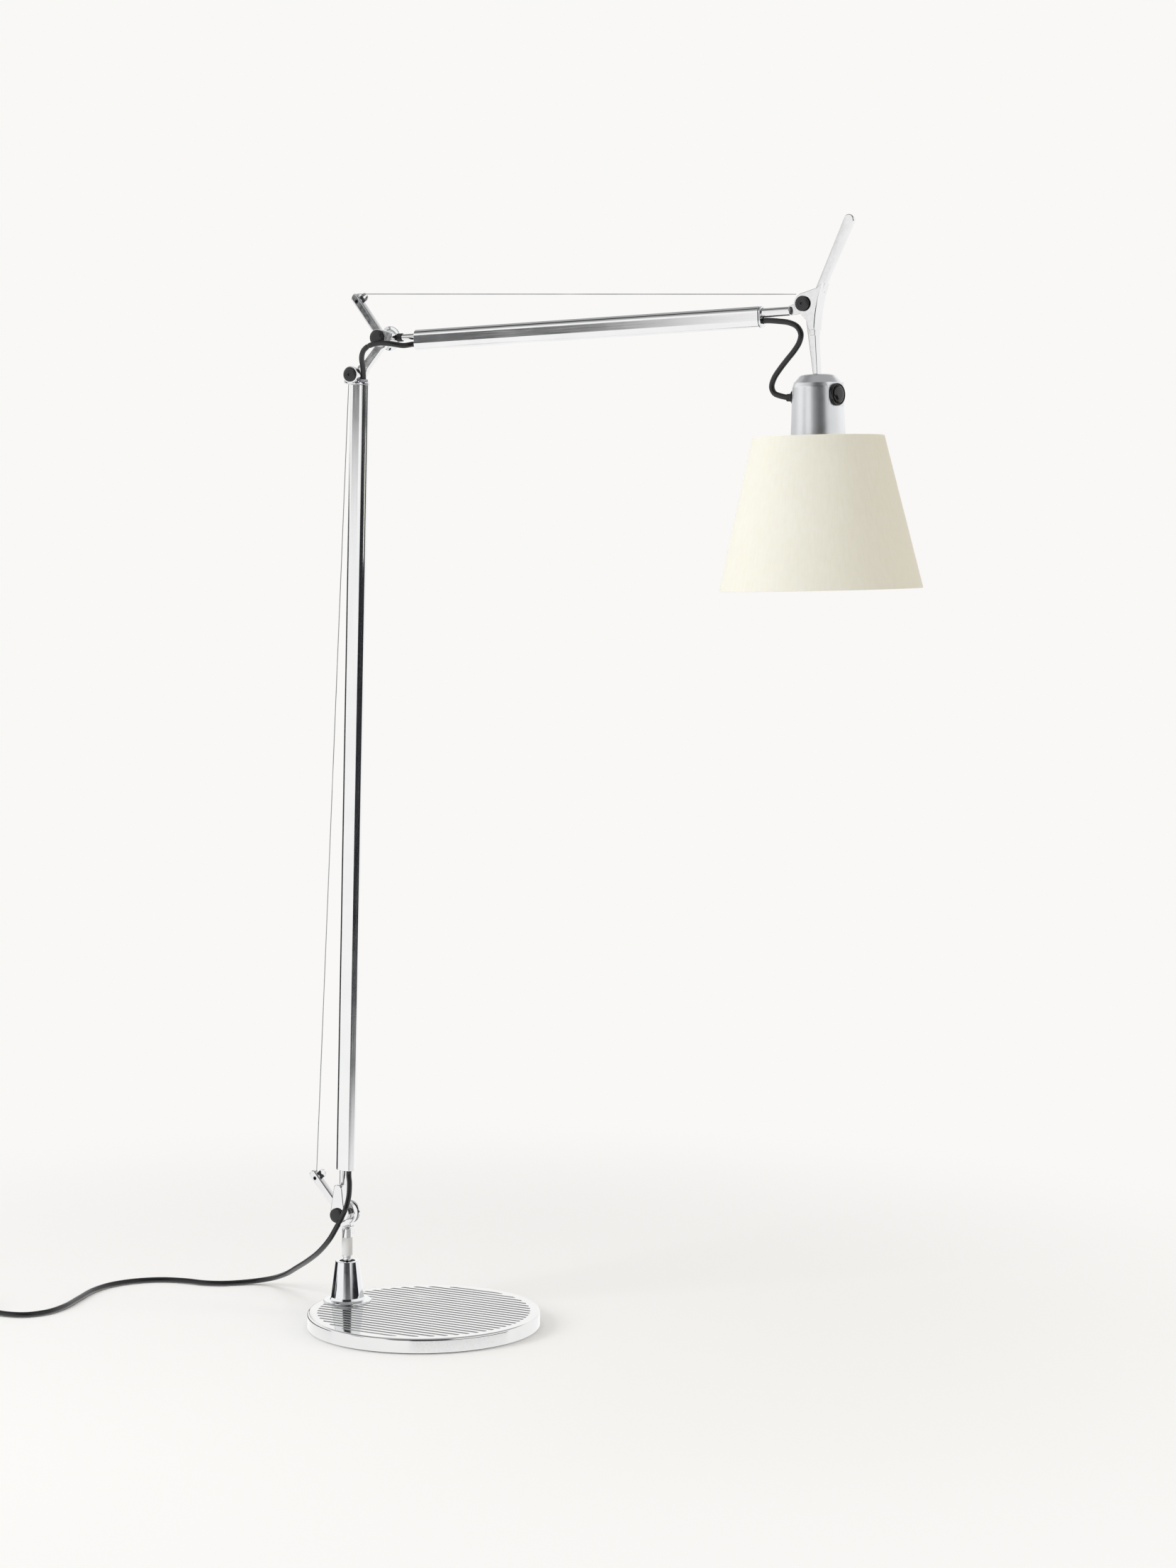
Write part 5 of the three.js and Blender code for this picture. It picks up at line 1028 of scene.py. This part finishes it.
def remapped(value, low, high, dim, bright=1.0):
    edge = node(tree, "ShaderNodeMapRange", interpolation_type="SMOOTHSTEP", From_Min=low, From_Max=high,
                To_Min=bright,
                To_Max=dim)
    tree.links.new(value, edge.inputs["Value"])
    return edge.outputs["Result"]


def along(direction):
    dot = node(tree, "ShaderNodeVectorMath", operation="DOT_PRODUCT")
    dot.inputs[1].default_value = Vector(direction).normalized()
    tree.links.new(position.outputs["Generated"], dot.inputs[0])
    return dot.outputs["Value"]


def dark_panel(azimuth, height, inner, outer, dim):
    """1 outside a round soft-edged dark panel of the room and dim inside it; all angles in degrees."""
    a, e = math.radians(azimuth), math.radians(height)
    facing = along((math.cos(a) * math.cos(e), math.sin(a) * math.cos(e), math.sin(e)))
    return remapped(facing, math.cos(math.radians(outer)), math.cos(math.radians(inner)), dim)


def multiplied(a, b):
    product = node(tree, "ShaderNodeMath", operation="MULTIPLY")
    tree.links.new(a, product.inputs[0])
    tree.links.new(b, product.inputs[1])
    return product.outputs[0]


def level(value, low, high, dark, light):
    ramp = node(tree, "ShaderNodeMapRange", From_Min=low, From_Max=high)
    tree.links.new(value, ramp.inputs["Value"])
    colour = node(tree, "ShaderNodeMix", data_type="RGBA")
    tree.links.new(ramp.outputs["Result"], colour.inputs[0])
    colour.inputs[6].default_value = (*dark, 1)
    colour.inputs[7].default_value = (*light, 1)
    return colour.outputs[2]


def chosen(when, other, this):
    pick = node(tree, "ShaderNodeMix", data_type="RGBA")
    tree.links.new(when, pick.inputs[0])
    tree.links.new(other, pick.inputs[6])
    tree.links.new(this, pick.inputs[7])
    return pick.outputs[2]


# what mirror rays see in place of the lights and the floor: (azimuth, height, inner, outer, dim) of the
# dark panels above the horizon, and of those round it
ABOVE = [(-62, 18, 28, 36, 0.03), (-126, 4, 7, 9, 0.05), (-158, 55, 7, 13, 0.1), (0, 90, 52, 62, 0.4)]
AROUND = [(-20, -7, 49, 53, 0.0), (161, -7, 35, 40, 0.0)]


def panels_within(panels, mask):
    """The panels multiplied together, and 1 outside the mask."""
    value = dark_panel(*panels[0])
    for panel in panels[1:]:
        value = multiplied(value, dark_panel(*panel))
    mix = node(tree, "ShaderNodeMix", data_type="FLOAT")
    mix.inputs[2].default_value = 1
    tree.links.new(mask, mix.inputs[0])
    tree.links.new(value, mix.inputs[3])
    return mix.outputs[0]


height = along((0, 0, 1))
over = remapped(height, 0.012, 0.03, 1, 0)
band = multiplied(remapped(height, -0.222, -0.207, 1, 0), remapped(height, 0.01, 0.028, 0))
room = multiplied(panels_within(ABOVE, over), panels_within(AROUND, band))
mirrored = level(room, 0, 1, (0.02, 0.022, 0.026), (1.1, 1.1, 1.095))
soft = level(along((-0.75, -0.65, 0.25)), -1, 1, (0.36, 0.34, 0.31), (0.72, 0.73, 0.74))
rays = node(tree, "ShaderNodeLightPath")
plain = node(tree, "ShaderNodeRGB")
plain.outputs[0].default_value = BACKDROP
lit = chosen(rays.outputs["Is Glossy Ray"], soft, mirrored)
tree.links.new(chosen(rays.outputs["Is Camera Ray"], lit, plain.outputs[0]), background.inputs["Color"])
bpy.context.scene.view_settings.view_transform = "Standard"
